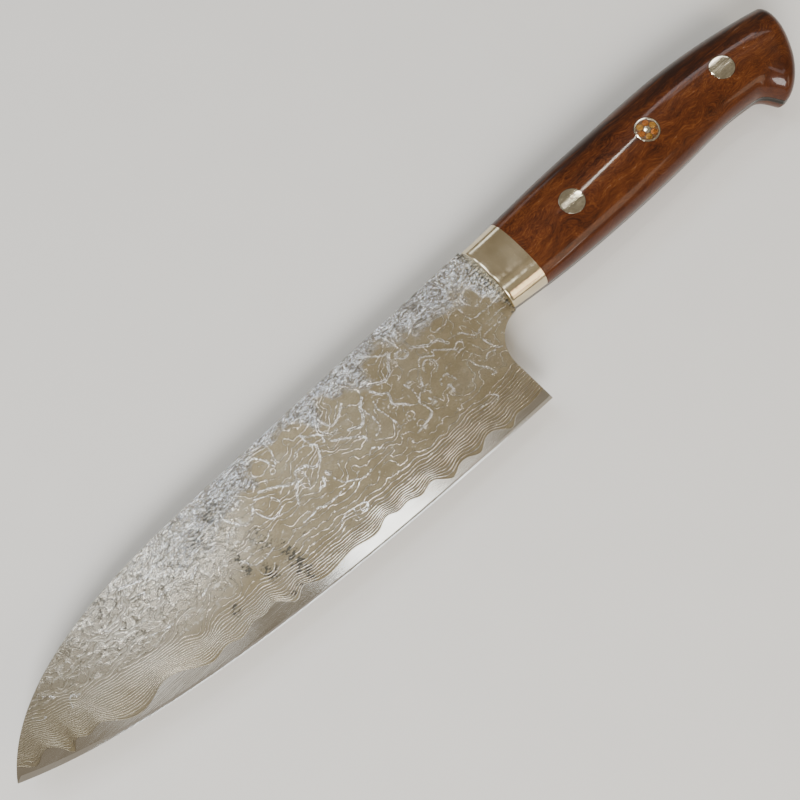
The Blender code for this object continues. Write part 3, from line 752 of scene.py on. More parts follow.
def ridge_distance(x, y, side):
    """Distance in millimetres to the nearest ridge's middle less that ridge's half width.

    Each ridge is a smooth curve through its points (a Catmull-Rom one), taken as short straight
    runs; the distance to a run is that to its nearest place. It is left out further than a
    ridge's reach beside it.
    """
    nearest = np.full(x.shape, FAR_AWAY)
    for half_width, *points in RIDGES:
        knots = np.array(points, float)
        knots[:, 0] = other_side(knots[:, 0], side)
        padded = np.concatenate([[2 * knots[0] - knots[1]], knots, [2 * knots[-1] - knots[-2]]])
        t = np.linspace(0, 1, 5)[:-1, None]
        runs = []
        for a, b, c, d in zip(padded, padded[1:], padded[2:], padded[3:]):
            squared, cubed = 2 * a - 5 * b + 4 * c - d, 3 * b - a - 3 * c + d
            runs.append(b + (t * (c - a) + t**2 * squared + t**3 * cubed) / 2)
        curve = np.concatenate(runs + [knots[-1:]])
        apart = np.abs(np.stack([x, y], axis=-1) - curve.mean(axis=0))
        near = (apart < np.ptp(curve, axis=0) / 2 + RIDGE_REACH).all(axis=-1)
        here = np.stack([x[near], y[near]], axis=-1)
        found = nearest[near]
        for start, end in zip(curve[:-1], curve[1:]):
            run = end - start
            share = np.clip((here - start) @ run / (run @ run), 0, 1)
            gap = here - start - share[:, None] * run
            found = np.minimum(found, np.hypot(*gap.T) - half_width)
        nearest[near] = found
    return nearest


def pattern_fields(x, y, side):
    """What the finish reads at each place, from x and y in metres.

    That is the sheet count, how steeply it changes, the crumpling, how much painted shade lies
    there, how plainly the sheets show, how pale the flats are painted as a painted reflection,
    and the distances in millimetres to a ridge and to the wavy line.
    """
    x, y = x * MM, y * MM
    count = sheet_number(x, y, side)
    step = 0.05  # millimetres to each side, over which the count's slope is taken
    slope_x = (sheet_number(x + step, y, side) - sheet_number(x - step, y, side)) / (2 * step)
    slope_y = (sheet_number(x, y + step, side) - sheet_number(x, y - step, side)) / (2 * step)
    own_x = other_side(x, side)
    seed = SEEDS[side][1]
    rough = y - read_off(CRUMPLED_ABOVE, own_x)
    rough = rough + 3.0 * drift(x, y, 5, seed) + 1.4 * drift(x, y, 2.2, seed + 1)
    crumple = np.clip(rough / 4 + 0.3, 0, 1) * read_off(CALM, own_x)
    # Painted shade: dark just ahead of the bolster, and in the listed hollows
    painted_shade = 0.6 * np.clip((x + BOLSTER_SHADE - 0.7 * drift(x, y, 1.5, seed + 2)) / 1.2, 0, 1)
    for *spot, depth in SHADED_HOLLOWS:
        painted_shade = np.maximum(painted_shade, depth * hump(x, y, side, spot, 1.5))
    # Painted reflection: the paleness fades towards the edge, so the flats are darker low down
    pale = read_off(PAINTED_PALENESS, own_x) * (0.1 + 0.9 * np.clip((y + 20) / 14, 0, 1))
    pale = np.clip(pale + 0.12 * drift(x, y, 9, seed + 3), 0, 1)
    wave = wavy_height(x / MM, side)
    lean = (wavy_height(x / MM + LEAN_STEP, side) - wave) / LEAN_STEP
    above = np.clip((y - wave * MM) / np.hypot(1, lean), 0, FAR_AWAY)
    steep = np.hypot(slope_x, slope_y)
    ridge = ridge_distance(x, y, side)
    return count, steep, crumple, painted_shade, read_off(PLAINNESS, own_x), pale, ridge, above


# Layered steel: bright proud nickel lines with painted shade at their edges over dull brown flats
patterned_steel, tree, shader = new_finish("etched_layered_steel", metallic=1.0)
count, steep, crumple = parts(attribute(tree, "sheets"))
painted_shade, plain, pale = parts(attribute(tree, "tones"))
ridge, above, rim = parts(attribute(tree, "gaps"))
crumbs = stretched_noise(tree, (1050, 1950, 1700), 5, 0.62)
blotches = stretched_noise(tree, (300, 620, 500), 4, 0.6, offset=(7, 1, 4))
spots = stretched_noise(tree, (900, 1500, 1100), 2, offset=(2, 9, 5))
crinkle = stretched_noise(tree, (430, 620, 500), 4, 0.62, offset=(3, 5, 2))
ragged = stretched_noise(tree, (1500, 2000, 900), 3) - 0.5
patchy = stretched_noise(tree, (190, 260, 170), 3)
broken = stretched_noise(tree, (420, 520, 400), 2)
fine = stretched_noise(tree, (2600, 2600, 2600), 2)
number = count + (crumbs - 0.5) * (crumple * 5.0)
number = number + ragged * (rise(steep, 1.2, 0.3) * 0.45 + 0.12)
past = (calc("FRACT", number) - 0.5) / larger(crumple * 1.3 + steep, 0.30)
apart = abs(past) - (rise(patchy, 0.4, 0.65) * 0.06 + 0.075)
# Far apart, a sheet's line comes and goes; crowded or crumpled, it always shows
spaced = rise(steep, 1.1, 0.6)
loosened = pale * spaced
showing = larger(rise(steep, 0.35, 0.7), rise(crumple, 0.1, 0.5))
showing = larger(showing, rise(patchy, 0.44, 0.52))
fading = larger(rise(broken, 0.38, 0.56) * 0.8 + 0.2, rise(steep, 0.8, 1.3))
sheet_line = rise(apart, 0.07, -0.05) * showing * fading
# A narrow ridge is one ragged line; a broad one shows its two edges
frayed = ragged * 0.95 + ridge + 0.13
ridge_line = rise(abs(frayed), 0.18, 0.05) * (rise(broken, 0.36, 0.50) * 0.6 + 0.4)
ridge_line = ridge_line * (rise(spots, 0.38, 0.52) * 0.35 + 0.65)
bright = larger(larger(sheet_line, ridge_line), rise(above, 0.24, 0.12) * 0.8)
# Painted shade beside the sheets: where they show plainly it lies on both sides, and otherwise on their
# lower side only
both_sides = rise(apart, 0.28, 0.04)
lower_side = rise(past, -0.34, -0.20) * rise(past, -0.03, -0.11)
dark_side = ((both_sides - lower_side) * rise(plain, 0.38, 0.55) + lower_side) * showing
shadow = larger(larger(dark_side, rise(frayed, 0.30, 0.04)) - bright, 0.0)
# Where the flats are pale, they are cells with thin dark borders, and the bright slivers along them are
# painted glints
bent = stretched_noise(tree, (500, 500, 500), 3, 0.6, give="Color")
bent = vector_calc("ADD", places(tree), vector_calc("SCALE", bent, 0.0026))
inputs = {"Vector": vector_calc("MULTIPLY", bent, (290, 400, 300)), "Scale": 1.0}
cells = add_node(tree, "ShaderNodeTexVoronoi", inputs, "Distance", feature="DISTANCE_TO_EDGE")
cracks = rise(cells, 0.08, 0.02) * rise(patchy, 0.36, 0.48) * loosened
bordering = rise(cells, 0.15, 0.04)
glint_slivers = rise(crinkle, 0.49, 0.53) * bordering * rise(blotches, 0.45, 0.53) * loosened
glints_and_specks = larger(glint_slivers, rise(spots, 0.67, 0.73) * spaced * 0.55)
# Crumpled sheets get a painted bluish highlight in patches, like foil, and painted shade along thin creases
foil_highlight = rise((blotches - 0.5) * 0.3 + crumbs, 0.50, 0.56) * crumple
crease_shade = rise(abs(crumbs - 0.46), 0.026, 0.006) * crumple
# Nickel's own warm tone, with a painted cool bluish reflection where crumpled and along ridges
nickel = blend(larger(crumple, ridge_line * 0.6), (0.92, 0.87, 0.77), (0.91, 0.95, 1.0))
# Painted shade in the hollows and ahead of the bolster, kept off the bright lines
hollow_shade = rise(painted_shade, 0.08, 0.4) * rise(painted_shade * 0.13 + spots, 0.56, 0.64) * (1.0 - bright * 0.75)
rim_steel = mottled(tree, (60, 900, 9000), 3, (0.35, 0.65), (0.50, 0.47, 0.42), (0.78, 0.76, 0.72))
layered = coated(
    blend(rise(patchy, 0.3, 0.7), (0.255, 0.207, 0.125), (0.315, 0.26, 0.163)),
    (crumple * 0.7, (0.43, 0.43, 0.43)),
    (rise(fine, 0.42, 0.60) * 0.4, (0.20, 0.16, 0.10)),
    # painted reflection: paler flats
    (pale * 0.85, (0.53, 0.50, 0.435)),
    # a dark band above the wavy line: brown steel, and partly a painted relief shade
    (rise(above, 0.75, 0.35) * 0.35, (0.16, 0.125, 0.075)),
    (shadow * (pale * 0.3 + plain * 0.3 + 0.3), (0.10, 0.082, 0.055)),
    (cracks * 0.9, (0.10, 0.088, 0.065)),
    # painted highlight on the crumpled foil, then painted shade in its creases
    (foil_highlight * 0.68, (0.78, 0.83, 0.93)),
    (crease_shade * 0.8, (0.085, 0.085, 0.085)),
    # the bright nickel lines, and the painted glints and specks
    (larger(bright * larger(plain, ridge_line), glints_and_specks), nickel),
    # painted shade in the hollows and ahead of the bolster
    (hollow_shade * 0.88, (0.060, 0.060, 0.054)),
    (rim, rim_steel),
    # painted shade on the tang between the handle's halves
    (tang_painted_dark(tree), (0.045, 0.04, 0.035)),
)
dull = larger(bright * -0.17 + 0.34 - crumple * 0.22 - loosened * 0.14, 0.08) + (fine - 0.5) * 0.14
feed(shader, {"Base Color": layered, "Roughness": dull})
height = (bright - shadow * 0.35) * (plain * 0.7 + 0.3) + crumbs * (crumple * 9.0)
height = height + crinkle * (loosened * (bordering * 2.1 + 0.15)) + rise(cells, 0.0, 0.10) * loosened
emboss(shader, (height - hollow_shade * 0.8 + fine * 0.22) * (1.0 - rim), 0.9, 0.00004)


def cladding(name, side, node):
    """A cladding's rings: up its outer face on crowded rows, over the eased spine, down inside.

    The outer face lies half the blade's thickness out, plus a hundredth or two of a millimetre
    of relief: the cosine of the sheet number, fading as the sheets crowd, and a rise on ridges.
    """
    wave = share_at_wave(side)
    whole = wave < 1 - LEAST_HEIGHT * hair
    ease = np.minimum(SPINE_EASE / line_length, 0.2)
    ease = np.where(feet[:, 0] < 0, ease, TANG_EASE / line_length)
    ease_share = 1 - ease
    start = np.minimum(wave + WELD_LINE / line_length, ease_share - 4 * hair)
    start = np.where(wave > 0, start, 0)
    crowd = np.linspace(0, 1, CLADDING_ROWS) ** ROW_CROWDING
    face_shares = start[:, None] + (ease_share - start)[:, None] * crowd
    face = along_lines(face_shares)
    out = half_thickness(face[..., 0], face[..., 1])
    values = pattern_fields(face[..., 0], face[..., 1], side)
    spaced = np.clip(1 - values[1] / 0.5, 0, 1)
    swell = SHEET_RELIEF * spaced * np.cos(2 * np.pi * values[0])
    swell += RIDGE_RELIEF * np.clip(1 - values[6], 0, 1)
    to_ends = np.minimum(face_shares - start[:, None], ease_share[:, None] - face_shares)
    fade = np.clip(to_ends / RELIEF_FADE, 0, 1) * np.clip(-face[..., 0] / BOLSTER_FADE, 0, 1)
    out = out + swell * fade
    turn = np.linspace(0, math.pi / 2, 5)[1:]
    over_shares = ease_share[:, None] + ease[:, None] * np.sin(turn)
    over = along_lines(over_shares)
    over_out = out[:, -1:] - (ease * line_length)[:, None] * (1 - np.cos(turn))
    back_shares = 1 + (start - 1)[:, None] * np.linspace(0, 1, 7)
    back = along_lines(back_shares)
    back_out = CORE_SHARE * half_thickness(back[..., 0], back[..., 1]) + WELD_LINE
    over_out = np.maximum(over_out, back_out[:, :1] + LEAST_WALL)
    places = np.concatenate([face, over, back], axis=1)
    outs = np.concatenate([out, over_out, back_out], axis=1)
    rings = raised(places, side * outs)[whole]
    extra = over.shape[1] + back.shape[1]
    values = [np.pad(each, ((0, 0), (0, extra)), mode="edge")[whole] for each in values]
    rim = np.zeros(rings.shape[:2])
    rim[:, CLADDING_ROWS:] = 1
    values.append(rim)
    fields = {
        name: np.stack(values[first : first + 3], axis=-1).reshape(-1, 3)
        for first, name in ((0, "sheets"), (3, "tones"), (6, "gaps"))
    }
    new_piece(name, loft(rings), patterned_steel, node, fields=fields)


cladding("left_layers", 1, "left_cladding")
cladding("right_layers", -1, "right_cladding")

# Bolsters
# Two half collars of nickel silver, one soldered to each side of the tang. They are ground to
# the handle's own section, their front rims are rounded, and they are buffed to a mirror.
SECTION_FULLNESS = 2.6  # 2 is an ellipse, and more is fuller
BUTT_FULLNESS = 0.55
# The handle's whole width along it: x, width
HANDLE_THICKNESS = (
    (-0.0020, 0.0142), (0.0120, 0.0158), (0.0450, 0.0190), (0.0750, 0.0192), (0.0980, 0.0184),
    (0.1228, 0.0200),
)  # fmt: skip
SCALE_TURN = 88.6  # degrees that the scales go on over the butt
BOLSTER_LENGTH = 0.0125
RIM_ROUNDING = 0.0005
AROUND_HALF = 72  # points from the bottom of a section to its top
# How far the handle's top and bottom lines run along it
SPANS = [line[-1][0] - line[0][0] for line in (HANDLE_TOP, HANDLE_BOTTOM)]


def half_section(share_of_turn, half_width):
    """Across and upward shares of a half section that starts and ends at the tang's face.

    The full section is |across|^n + |upward|^n = 1. Its turn starts where across times the half
    width is the tang's half thickness, at the bottom, and ends there again at the top.
    """
    power = 2 / SECTION_FULLNESS
    first = np.arccos(np.clip(HALF_TANG / half_width, 0, 1) ** (1 / power))
    turn = -first + 2 * first * share_of_turn
    across = np.cos(turn) ** power
    upward = np.sign(np.sin(turn)) * np.abs(np.sin(turn)) ** power
    return across, upward


def share_at(plane, upward):
    """The share of the handle's length at a plane, which differs with the height in the section."""
    return (plane - HANDLE_TOP[0][0]) / (sum(SPANS) / 2 + (SPANS[0] - SPANS[1]) / 2 * upward)


def half_width_at(share):
    """Half the handle's width at a share of its length."""
    return smooth_heights(HANDLE_THICKNESS, HANDLE_TOP[0][0] + SPANS[0] * share) / 2


def handle_skin(front, back, stations, side):
    """Rings of one half of the handle from the plane x = front to the plane x = back.

    A ring's points lie between the handle's bottom and top lines: middle plus upward times half
    the chord, and out by across times half the width. Both lines go evenly, so each point's
    share of the length at a plane is worked out from its own height. Without a back the rings
    run on over the butt, while the width shrinks by a low power of their angle's cosine.
    """
    turn_share = np.linspace(0, 1, AROUND_HALF)
    width = smooth_heights(HANDLE_THICKNESS, np.array([front]))[0] / 2
    upward = half_section(turn_share, width)[1]
    begin = share_at(front, upward)
    end = share_at(back, upward) if back else 1.0
    share = begin + (end - begin) * np.linspace(0, 1, stations)[:, None]
    half_width = half_width_at(share)
    across, upward = half_section(turn_share, half_width)
    tops, bottoms = handle_ends(share, share)
    plane = (tops + bottoms) / 2 + upward[..., None] * (tops - bottoms) / 2
    plane[0, :, 0] = front
    if back:
        plane[-1, :, 0] = back
        return raised(plane, side * across * half_width)
    angle = np.radians(np.linspace(0, SCALE_TURN, 30))[1:, None]
    centre, reach = over_butt(tops[-1, 0], bottoms[-1, 0], angle)
    butt_width = half_width[-1:] * np.cos(angle) ** BUTT_FULLNESS
    butt_across, upward = half_section(turn_share, butt_width)
    plane = np.concatenate([plane, centre[:, None] + upward[..., None] * reach[:, None]])
    return raised(plane, side * np.concatenate([across * half_width, butt_across * butt_width]))


nickel_silver, tree, shader = new_finish("buffed_nickel_silver", metallic=1.0)
smears = with_polish(shader, (5200.0, 90.0, 90.0), 0.35, (0.12, 0.20), 0.012)[1]
collar = mottled(tree, (160, 120, 120), 2, (0.35, 0.7), (0.66, 0.575, 0.40), (0.80, 0.71, 0.52))
feed(shader, {"Base Color": blend(smears * 0.35, collar, (0.60, 0.52, 0.36))})
# The buffing wheel leaves the faces faintly uneven
emboss(shader, stretched_noise(tree, (210, 120, 120), 2), 1.0, 0.00009)

for name, side, node in (("left_collar", 1, "left_bolster"), ("right_collar", -1, "right_bolster")):
    rings = handle_skin(0.0, BOLSTER_LENGTH, 36, side)
    # The rim is rounded: inside the last half millimetre each point moves in on a quarter circle
    bend = np.linspace(0, math.pi / 2, 8)[:, None]
    inset = RIM_ROUNDING * (1 - np.sin(bend))
    along, upward, outward = rings[0].T
    middle = (upward.max() + upward.min()) / 2
    upward = middle + (upward - middle) * (1 - inset / (np.ptp(upward) / 2))
    outward = np.abs(outward) * (1 - inset / np.abs(outward).max())
    along = along + RIM_ROUNDING * (1 - np.cos(bend))
    rounded = np.stack([along, upward, side * np.maximum(outward, HALF_TANG)], axis=-1)
    behind = rings[rings[:, 0, 0] > RIM_ROUNDING * 1.2]
    new_piece(name, loft(np.concatenate([rounded, behind])), nickel_silver, node, 40)

# Scales
# Two slabs of desert ironwood, glued to the tang and pinned through it, then shaped in place
# with the bolsters and buffed to a gloss. The figure swirls along the side and runs straight
# and dark near the spine towards the butt.
FRONT_PIN = (0.0331, -0.0010)
MOSAIC_PIN = (0.0654, -0.0001)
REAR_PIN = (0.0970, -0.0009)
PIN_DIAMETER = 0.0079


def swirled(place, stretch, size):
    """Places pushed about by smooth noise, by up to half the size each way."""
    push = stretched_noise(place.socket.id_data, stretch, 1.0, place=place, give="Color")
    push = vector_calc("SCALE", vector_calc("SUBTRACT", push, (0.5, 0.5, 0.5)), size)
    return vector_calc("ADD", place, push)


ironwood, tree, shader = new_finish("buffed_ironwood")
inputs = {"Vector": places(tree), "Location": tuple(-DATUM * MM), "Scale": (MM, MM, MM)}
spot = add_node(tree, "ShaderNodeMapping", inputs)
along, upward, _ = parts(spot)
# The straight-grained wood: high up, and more of it towards the butt
straight = rise(along * 0.085 + upward, 9.5, 13.5)
burl = stretched_noise(tree, (0.045, 0.07, 0.07), 1.0, place=spot, offset=(9, 2, 5))
curled = swirled(spot, (0.085, 0.12, 0.12), straight * -8.0 + 10.0)
curl_size = (rise(burl, 0.46, 0.66) * 1.2 + 0.1) * (1.0 - straight)
curled = swirled(curled, (0.26, 0.34, 0.34), curl_size)
bands = stretched_noise(tree, (0.05, 0.46, 0.46), 5.0, 0.68, place=curled)
fibres = stretched_noise(tree, (0.24, 3.8, 3.8), 4.0, 0.6, place=curled)
flecks = stretched_noise(tree, (0.8, 2.6, 2.6), 2.0, place=curled, offset=(3, 8, 6))
pores = stretched_noise(tree, (0.55, 7.5, 7.5), 1.0, place=curled)
clouds = stretched_noise(tree, (0.07, 0.10, 0.10), 2.0, place=spot, offset=(4, 7, 1))
figure = (bands - 0.5) * 0.85 + 0.50 + (fibres - 0.5) * 0.85 + (clouds - 0.5) * 0.40
wood = add_node(tree, "ShaderNodeValToRGB", {"Fac": figure - straight * 0.06})
stops = wood.socket.node.color_ramp.elements
for stop, (at, colour) in zip(
    [stops[0], stops[1], stops.new(0.5), stops.new(0.55), stops.new(0.6)],
    (
        (0.27, (0.022, 0.0052, 0.0022)),
        (0.40, (0.052, 0.0125, 0.0036)),
        (0.51, (0.090, 0.0225, 0.0056)),
        (0.62, (0.132, 0.0370, 0.0085)),
        (0.76, (0.190, 0.0650, 0.0160)),
    ),
):
    stop.position = at
    stop.color = (*colour, 1)
# A thin dark line of glue shows round each pin
flat = add_node(tree, "ShaderNodeCombineXYZ", {0: along, 1: upward})
pin_edge = PIN_DIAMETER / 2 * MM
seam = 0.0
for pin_x, pin_y in (FRONT_PIN, MOSAIC_PIN, REAR_PIN):
    gap = vector_calc("DISTANCE", flat, (pin_x * MM, pin_y * MM, 0), "Value")
    seam = larger(rise(gap, pin_edge + 0.22, pin_edge + 0.05), seam)
brown = coated(
    wood,
    (rise(flecks, 0.56, 0.68) * rise(burl, 0.36, 0.56) * 0.28, (0.170, 0.065, 0.017)),
    (straight * (rise(bands, 0.56, 0.44) * 0.5 + 0.4), (0.024, 0.0085, 0.0055)),
    (rise(pores, 0.60, 0.70) * 0.5, (0.018, 0.005, 0.003)),
    # Painted shade: darker on the lower half of the side, and darker still on the underside
    (rise(upward, -9.5, -13.0) * 0.55, (0.045, 0.010, 0.0035)),
    (rise(upward, -1.0, -8.0) * 0.3, (0.050, 0.016, 0.0060)),
    (seam * 0.8, (0.010, 0.004, 0.003)),
)
feed(shader, {"Base Color": brown, "Roughness": rise(pores, 0.5, 0.7) * 0.12 + 0.30})
feed(shader, {"Specular IOR Level": 0.1, "Coat Weight": 0.35, "Coat Roughness": 0.05})
emboss(shader, (fibres - 0.5) * 0.3 - rise(pores, 0.62, 0.7) * 0.5, 0.12, 0.00003)

for name, side, node in (("left_wood", 1, "left_scale"), ("right_wood", -1, "right_scale")):
    rings = handle_skin(BOLSTER_LENGTH, None, 190, side)
    new_piece(name, loft(rings), ironwood, node, 40)

# Plain pins
# Two rods of nickel silver through both scales and the tang, glued, cut off and ground flush
# with the wood, so their ends follow the curve of the handle.
PROUD = 0.00003  # a pin wears less than the wood round it
PIN_ROUNDING = 0.00005
PIN_SIDES = 64


def skin_height(x, y):
    """How far out the handle's surface lies at x and y.

    The share of the length and the height in the section depend on each other, so both are
    found by turns. The distance out then follows from |across|^n + |upward|^n = 1.
    """
    upward = np.zeros_like(x)
    for _ in range(ROUNDS):
        share = share_at(x, upward)
        tops, bottoms = handle_ends(share, share)
        upward = (2 * y - tops[..., 1] - bottoms[..., 1]) / (tops[..., 1] - bottoms[..., 1])
    return half_width_at(share) * (1 - np.abs(upward) ** SECTION_FULLNESS) ** (1 / SECTION_FULLNESS)


def loft_ring(rings):
    """A loft whose last ring joins its first, for a tube."""
    corners, faces = loft(rings)
    count, around = rings.shape[:2]
    first, last = np.arange(around), np.arange(around) + (count - 1) * around
    joins = np.stack([last, np.roll(last, -1), np.roll(first, -1), first], axis=-1)
    sides = faces[:-2]
    if sides[0][0] > sides[0][-1]:
        joins = joins[:, ::-1]
    return corners, sides + joins.tolist()


def pin_body(centre, radius, proud, around=PIN_SIDES, dome=0.0, hole=0.0):
    """A rod through the handle that follows its surface at both ends.

    The profile goes out from the middle, over a rim rounded by a quarter circle and down the
    wall, and back the same way on the other side. Each ring lies on the handle's surface plus
    what the pin stands proud, and less the rounding's drop. A tube starts at its hole instead.
    """
    turn = np.linspace(0, 2 * math.pi, around, endpoint=False)
    rounding = min(PIN_ROUNDING, radius / 4)
    bend = np.linspace(0, math.pi / 2, 6)
    inner = max(hole, radius * 0.02)  # a rod's rings begin just beside its middle
    flat = np.linspace(inner + (rounding if hole else 0), radius - rounding, 9)
    reach = np.concatenate([flat[:-1], radius - rounding + rounding * np.sin(bend)])
    drop = np.concatenate([0 * flat[:-1], rounding * (1 - np.cos(bend))])
    if hole:
        reach = np.concatenate([inner + rounding - rounding * np.sin(bend[::-1]), reach])
        drop = np.concatenate([rounding * (1 - np.cos(bend[::-1])), drop])
    place = np.array(centre) + reach[:, None, None] * np.stack([np.cos(turn), np.sin(turn)], axis=-1)
    crown = dome * (1 - (reach / radius) ** 2)
    out = skin_height(*np.moveaxis(place, -1, 0)) + (proud + crown - drop)[:, None]
    rings = np.concatenate([raised(place, out), raised(place, -out)[::-1]])
    return loft_ring(rings) if hole else loft(rings)


pin_metal, tree, shader = new_finish("sanded_nickel_silver", metallic=1.0)
lines = with_polish(shader, (40.0, 2600.0, 2600.0), 1.0, (0.05, 0.08), 0.010)[0]
silver = mottled(tree, (500, 700, 500), 3, (0.35, 0.7), (0.58, 0.54, 0.43), (0.72, 0.68, 0.55))
feed(shader, {"Base Color": blend(lines * 0.9, silver, (0.93, 0.91, 0.84))})

for name, centre, node in (("front_rivet", FRONT_PIN, "front_pin"), ("rear_rivet", REAR_PIN, "rear_pin")):
    body = pin_body(centre, PIN_DIAMETER / 2, PROUD)
    new_piece(name, body, pin_metal, node, 50)

# Mosaic pin
# A thin nickel silver tube packed with six brass and copper rods round a nickel silver one and
# filled with dark resin. It is set in the wood as the plain pins are, and ground flush with it.
TUBE_WALL = 0.0005
ROD_DIAMETER = 0.0021
ROD_SPACING = 0.00224
ROD_PROUD = PROUD * 0.7
ROD_DOME = 0.00002
ROD_SIDES = 28
RESIN_PROUD = PROUD * 0.4
RESIN_OVERLAP = 0.00002  # with the tube's bore, so that no gap shows

tube = pin_body(MOSAIC_PIN, PIN_DIAMETER / 2, PROUD, hole=PIN_DIAMETER / 2 - TUBE_WALL)
new_piece("mosaic_ring", tube, pin_metal, "mosaic_tube", 50)

dark_resin, tree, shader = new_finish("dark_casting_resin")
bubbles = stretched_noise(tree, (3000, 3000, 3000), 2)
resin = blend(rise(bubbles, 0.45, 0.7), (0.085, 0.036, 0.010), (0.190, 0.085, 0.024))
feed(shader, {"Base Color": resin, "Roughness": bubbles * 0.25 + 0.15, "Coat Weight": 0.4})
emboss(shader, bubbles, 0.3, 0.00002)
fill = pin_body(MOSAIC_PIN, PIN_DIAMETER / 2 - TUBE_WALL + RESIN_OVERLAP, RESIN_PROUD)
new_piece("mosaic_fill", fill, dark_resin, "mosaic_resin", 50)


def rod_finish(name, plain, bright):
    """Cut and polished rod metal: its own two tones with fine sanding lines."""
    finish, tree, shader = new_finish(name, metallic=1.0)
    lines = with_polish(shader, (300.0, 5000.0, 5000.0), 0.8, (0.26, 0.34), 0.05)[0]
    metal = mottled(tree, (900, 900, 900), 2, (0.35, 0.65), plain, bright)
    feed(shader, {"Base Color": blend(lines * 0.6, metal, (0.92, 0.76, 0.48))})
    return finish


brass = rod_finish("polished_brass", (0.29, 0.135, 0.023), (0.42, 0.22, 0.050))
copper = rod_finish("polished_copper", (0.23, 0.072, 0.017), (0.33, 0.120, 0.030))
rod = pin_body(MOSAIC_PIN, ROD_DIAMETER / 2, ROD_PROUD, ROD_SIDES, ROD_DOME)
new_piece("mosaic_middle", rod, pin_metal, "mosaic_centre_rod", 50)
for number in range(6):
    place = MOSAIC_PIN + ROD_SPACING * heading(2 * math.pi * number / 6)
    rod = pin_body(place, ROD_DIAMETER / 2, ROD_PROUD, ROD_SIDES, ROD_DOME)
    metal, slot = ((brass, "brass"), (copper, "copper"))[number % 2]
    new_piece(f"mosaic_wire_{number + 1}", rod, metal, f"mosaic_rod_{number + 1}", 50)

# Floor, light and camera
# The knife lies on a plain pale table, seen from the photograph's place. The light boxes round
# it are set for what the polished faces mirror, and the narrow ones for the handle's gloss.
HALF_FLOOR = 1.5
table_top = bpy.data.meshes.new("table_top")
corners = [(x * HALF_FLOOR, y * HALF_FLOOR, 0) for x, y in ((-1, -1), (1, -1), (1, 1), (-1, 1))]
table_top.from_pydata(corners, [], [[0, 1, 2, 3]])
table = stand("table_top", table_top)
paper, tree, shader = new_finish("pale_paper")
mottle = stretched_noise(tree, (40, 40, 40), 4)
tooth = stretched_noise(tree, (900, 900, 900), 2)
pale = blend(mottle, (0.84, 0.84, 0.83), (0.88, 0.88, 0.87))
feed(shader, {"Base Color": pale, "Roughness": tooth * 0.1 + 0.7})
table_top.materials.append(paper)

world = bpy.data.worlds.new("studio")
bpy.context.scene.world = world
world.use_nodes = True
feed(world.node_tree.nodes["Background"], {"Color": (1.0, 0.87, 0.68), "Strength": 0.31})


def set_down(thing, place, right, up, forward):
    """Puts a lamp or camera at a place, turned by its right, up and forward directions."""
    turned = zip(right, up, (-each for each in forward), place)
    thing.matrix_world = Matrix([*turned, (0, 0, 0, 1)])


def light_box(name, place, aim_x, size, brightness, colour):
    """A rectangular lamp at a place, in metres, that faces the frame's x axis at aim_x.

    Its power is the brightness times its area times pi, as for any evenly glowing face.
    """
    lamp = bpy.data.lights.new(name, "AREA")
    lamp.shape = "RECTANGLE"
    lamp.size, lamp.size_y = size
    lamp.energy = brightness * size[0] * size[1] * math.pi
    lamp.color = colour
    forward = np.array((aim_x, 0.0, 0.0)) - np.array(place, float)
    forward /= np.linalg.norm(forward)
    right = np.cross(forward, (0.0, 1.0, 0.0))
    right /= np.linalg.norm(right)
    set_down(stand(name, lamp), place, right, np.cross(right, forward), forward)


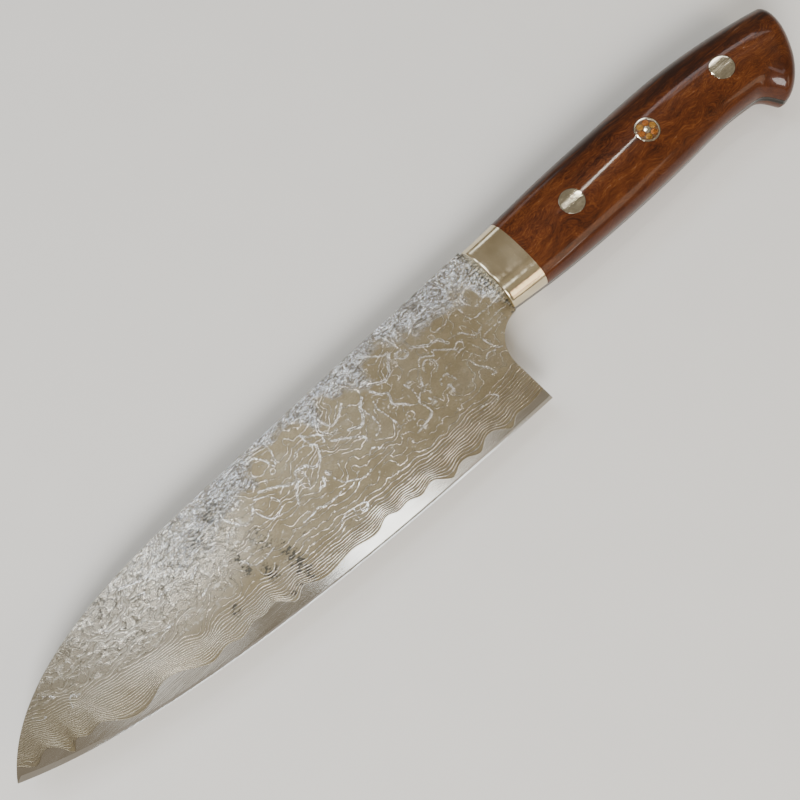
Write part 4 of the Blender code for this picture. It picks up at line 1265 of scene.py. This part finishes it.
# Name, place, where it aims, width and height, how bright its face looks, and its colour
for box in (
    ("key", (-0.95, -0.85, 0.95), 0, (0.8, 0.6), 20.0, (1.0, 0.98, 0.95)),
    ("behind_spine", (0.35, 1.08, 0.36), 0.05, (0.22, 0.18), 1.9, (0.86, 0.93, 1.0)),
    ("below_edge", (0.35, -0.85, 0.62), 0.05, (0.5, 0.42), 3.2, (1.0, 0.80, 0.58)),
    ("middle_box", (0.049, 0.097, 1.0), 0, (0.122, 0.134), 5.1, (0.93, 0.97, 1.0)),
    ("heel_box", (0.15, 0.083, 1.0), 0, (0.09, 0.10), 0.8, (1.0, 0.97, 0.93)),
    ("point_box", (-0.22, 0.21, 1.0), 0, (0.15, 0.18), 1.0, (0.97, 0.99, 1.0)),
    ("shoulder_box", (-0.12, 0.265, 1.0), 0, (0.09, 0.06), 17.0, (0.97, 0.98, 1.0)),
    ("spine_box", (-0.055, 0.40, 1.0), 0, (0.37, 0.18), 4.6, (0.84, 0.92, 1.0)),
    ("back_box", (-0.22, 0.75, 0.9), 0, (0.6, 0.25), 5.0, (0.82, 0.91, 1.0)),
    ("bevel_box", (-0.10, -0.29, 1.0), 0, (0.62, 0.10), 2.6, (0.90, 0.96, 1.0)),
    ("low_glow", (0.22, -0.34, 1.0), 0.04, (0.16, 0.56), 0.14, (1.0, 0.87, 0.68)),
    ("horizon_box", (0.20, -1.05, 0.34), 0.04, (0.20, 0.30), 1.7, (1.0, 0.82, 0.60)),
    ("handle_strip", (0.385, 0.203, 0.73), 0.1, (0.15, 0.009), 70.0, (1.0, 0.96, 0.86)),
    ("pin_strip", (0.284, 0.197, 0.73), 0.1, (0.046, 0.007), 4.6, (1.0, 0.96, 0.86)),
    ("rear_strip", (0.53, 0.21, 0.73), 0.1, (0.10, 0.007), 1.2, (1.0, 0.96, 0.86)),
    ("spine_strip", (0.575, 0.37, 0.73), 0.1, (0.11, 0.07), 6.0, (1.0, 0.96, 0.98)),
    ("butt_box", (0.615, 0.306, 0.73), 0.1, (0.08, 0.05), 3.6, (1.0, 0.97, 0.92)),
    ("low_box", (0.295, -0.90, 0.33), 0.05, (0.035, 0.14), 14.0, (1.0, 0.93, 0.82)),
):
    light_box(*box)

# The photograph's camera, worked out from the round pins: its place, and its own right, up and
# forward directions in the frame
PLACE = (-0.069018, -0.069469, 0.342581)
RIGHT = (0.73262, -0.68031, -0.02126)
UP = (0.65937, 0.70163, 0.27010)
FORWARD = (0.16884, 0.21190, -0.96260)
lens = bpy.data.cameras.new("photo_camera")
lens.sensor_width, lens.lens = 36.0, 54.0
lens.clip_start, lens.clip_end = 0.01, 20.0
camera = stand("photo_camera", lens)
set_down(camera, PLACE, RIGHT, UP, FORWARD)
bpy.context.scene.camera = camera

bpy.context.view_layer.update()
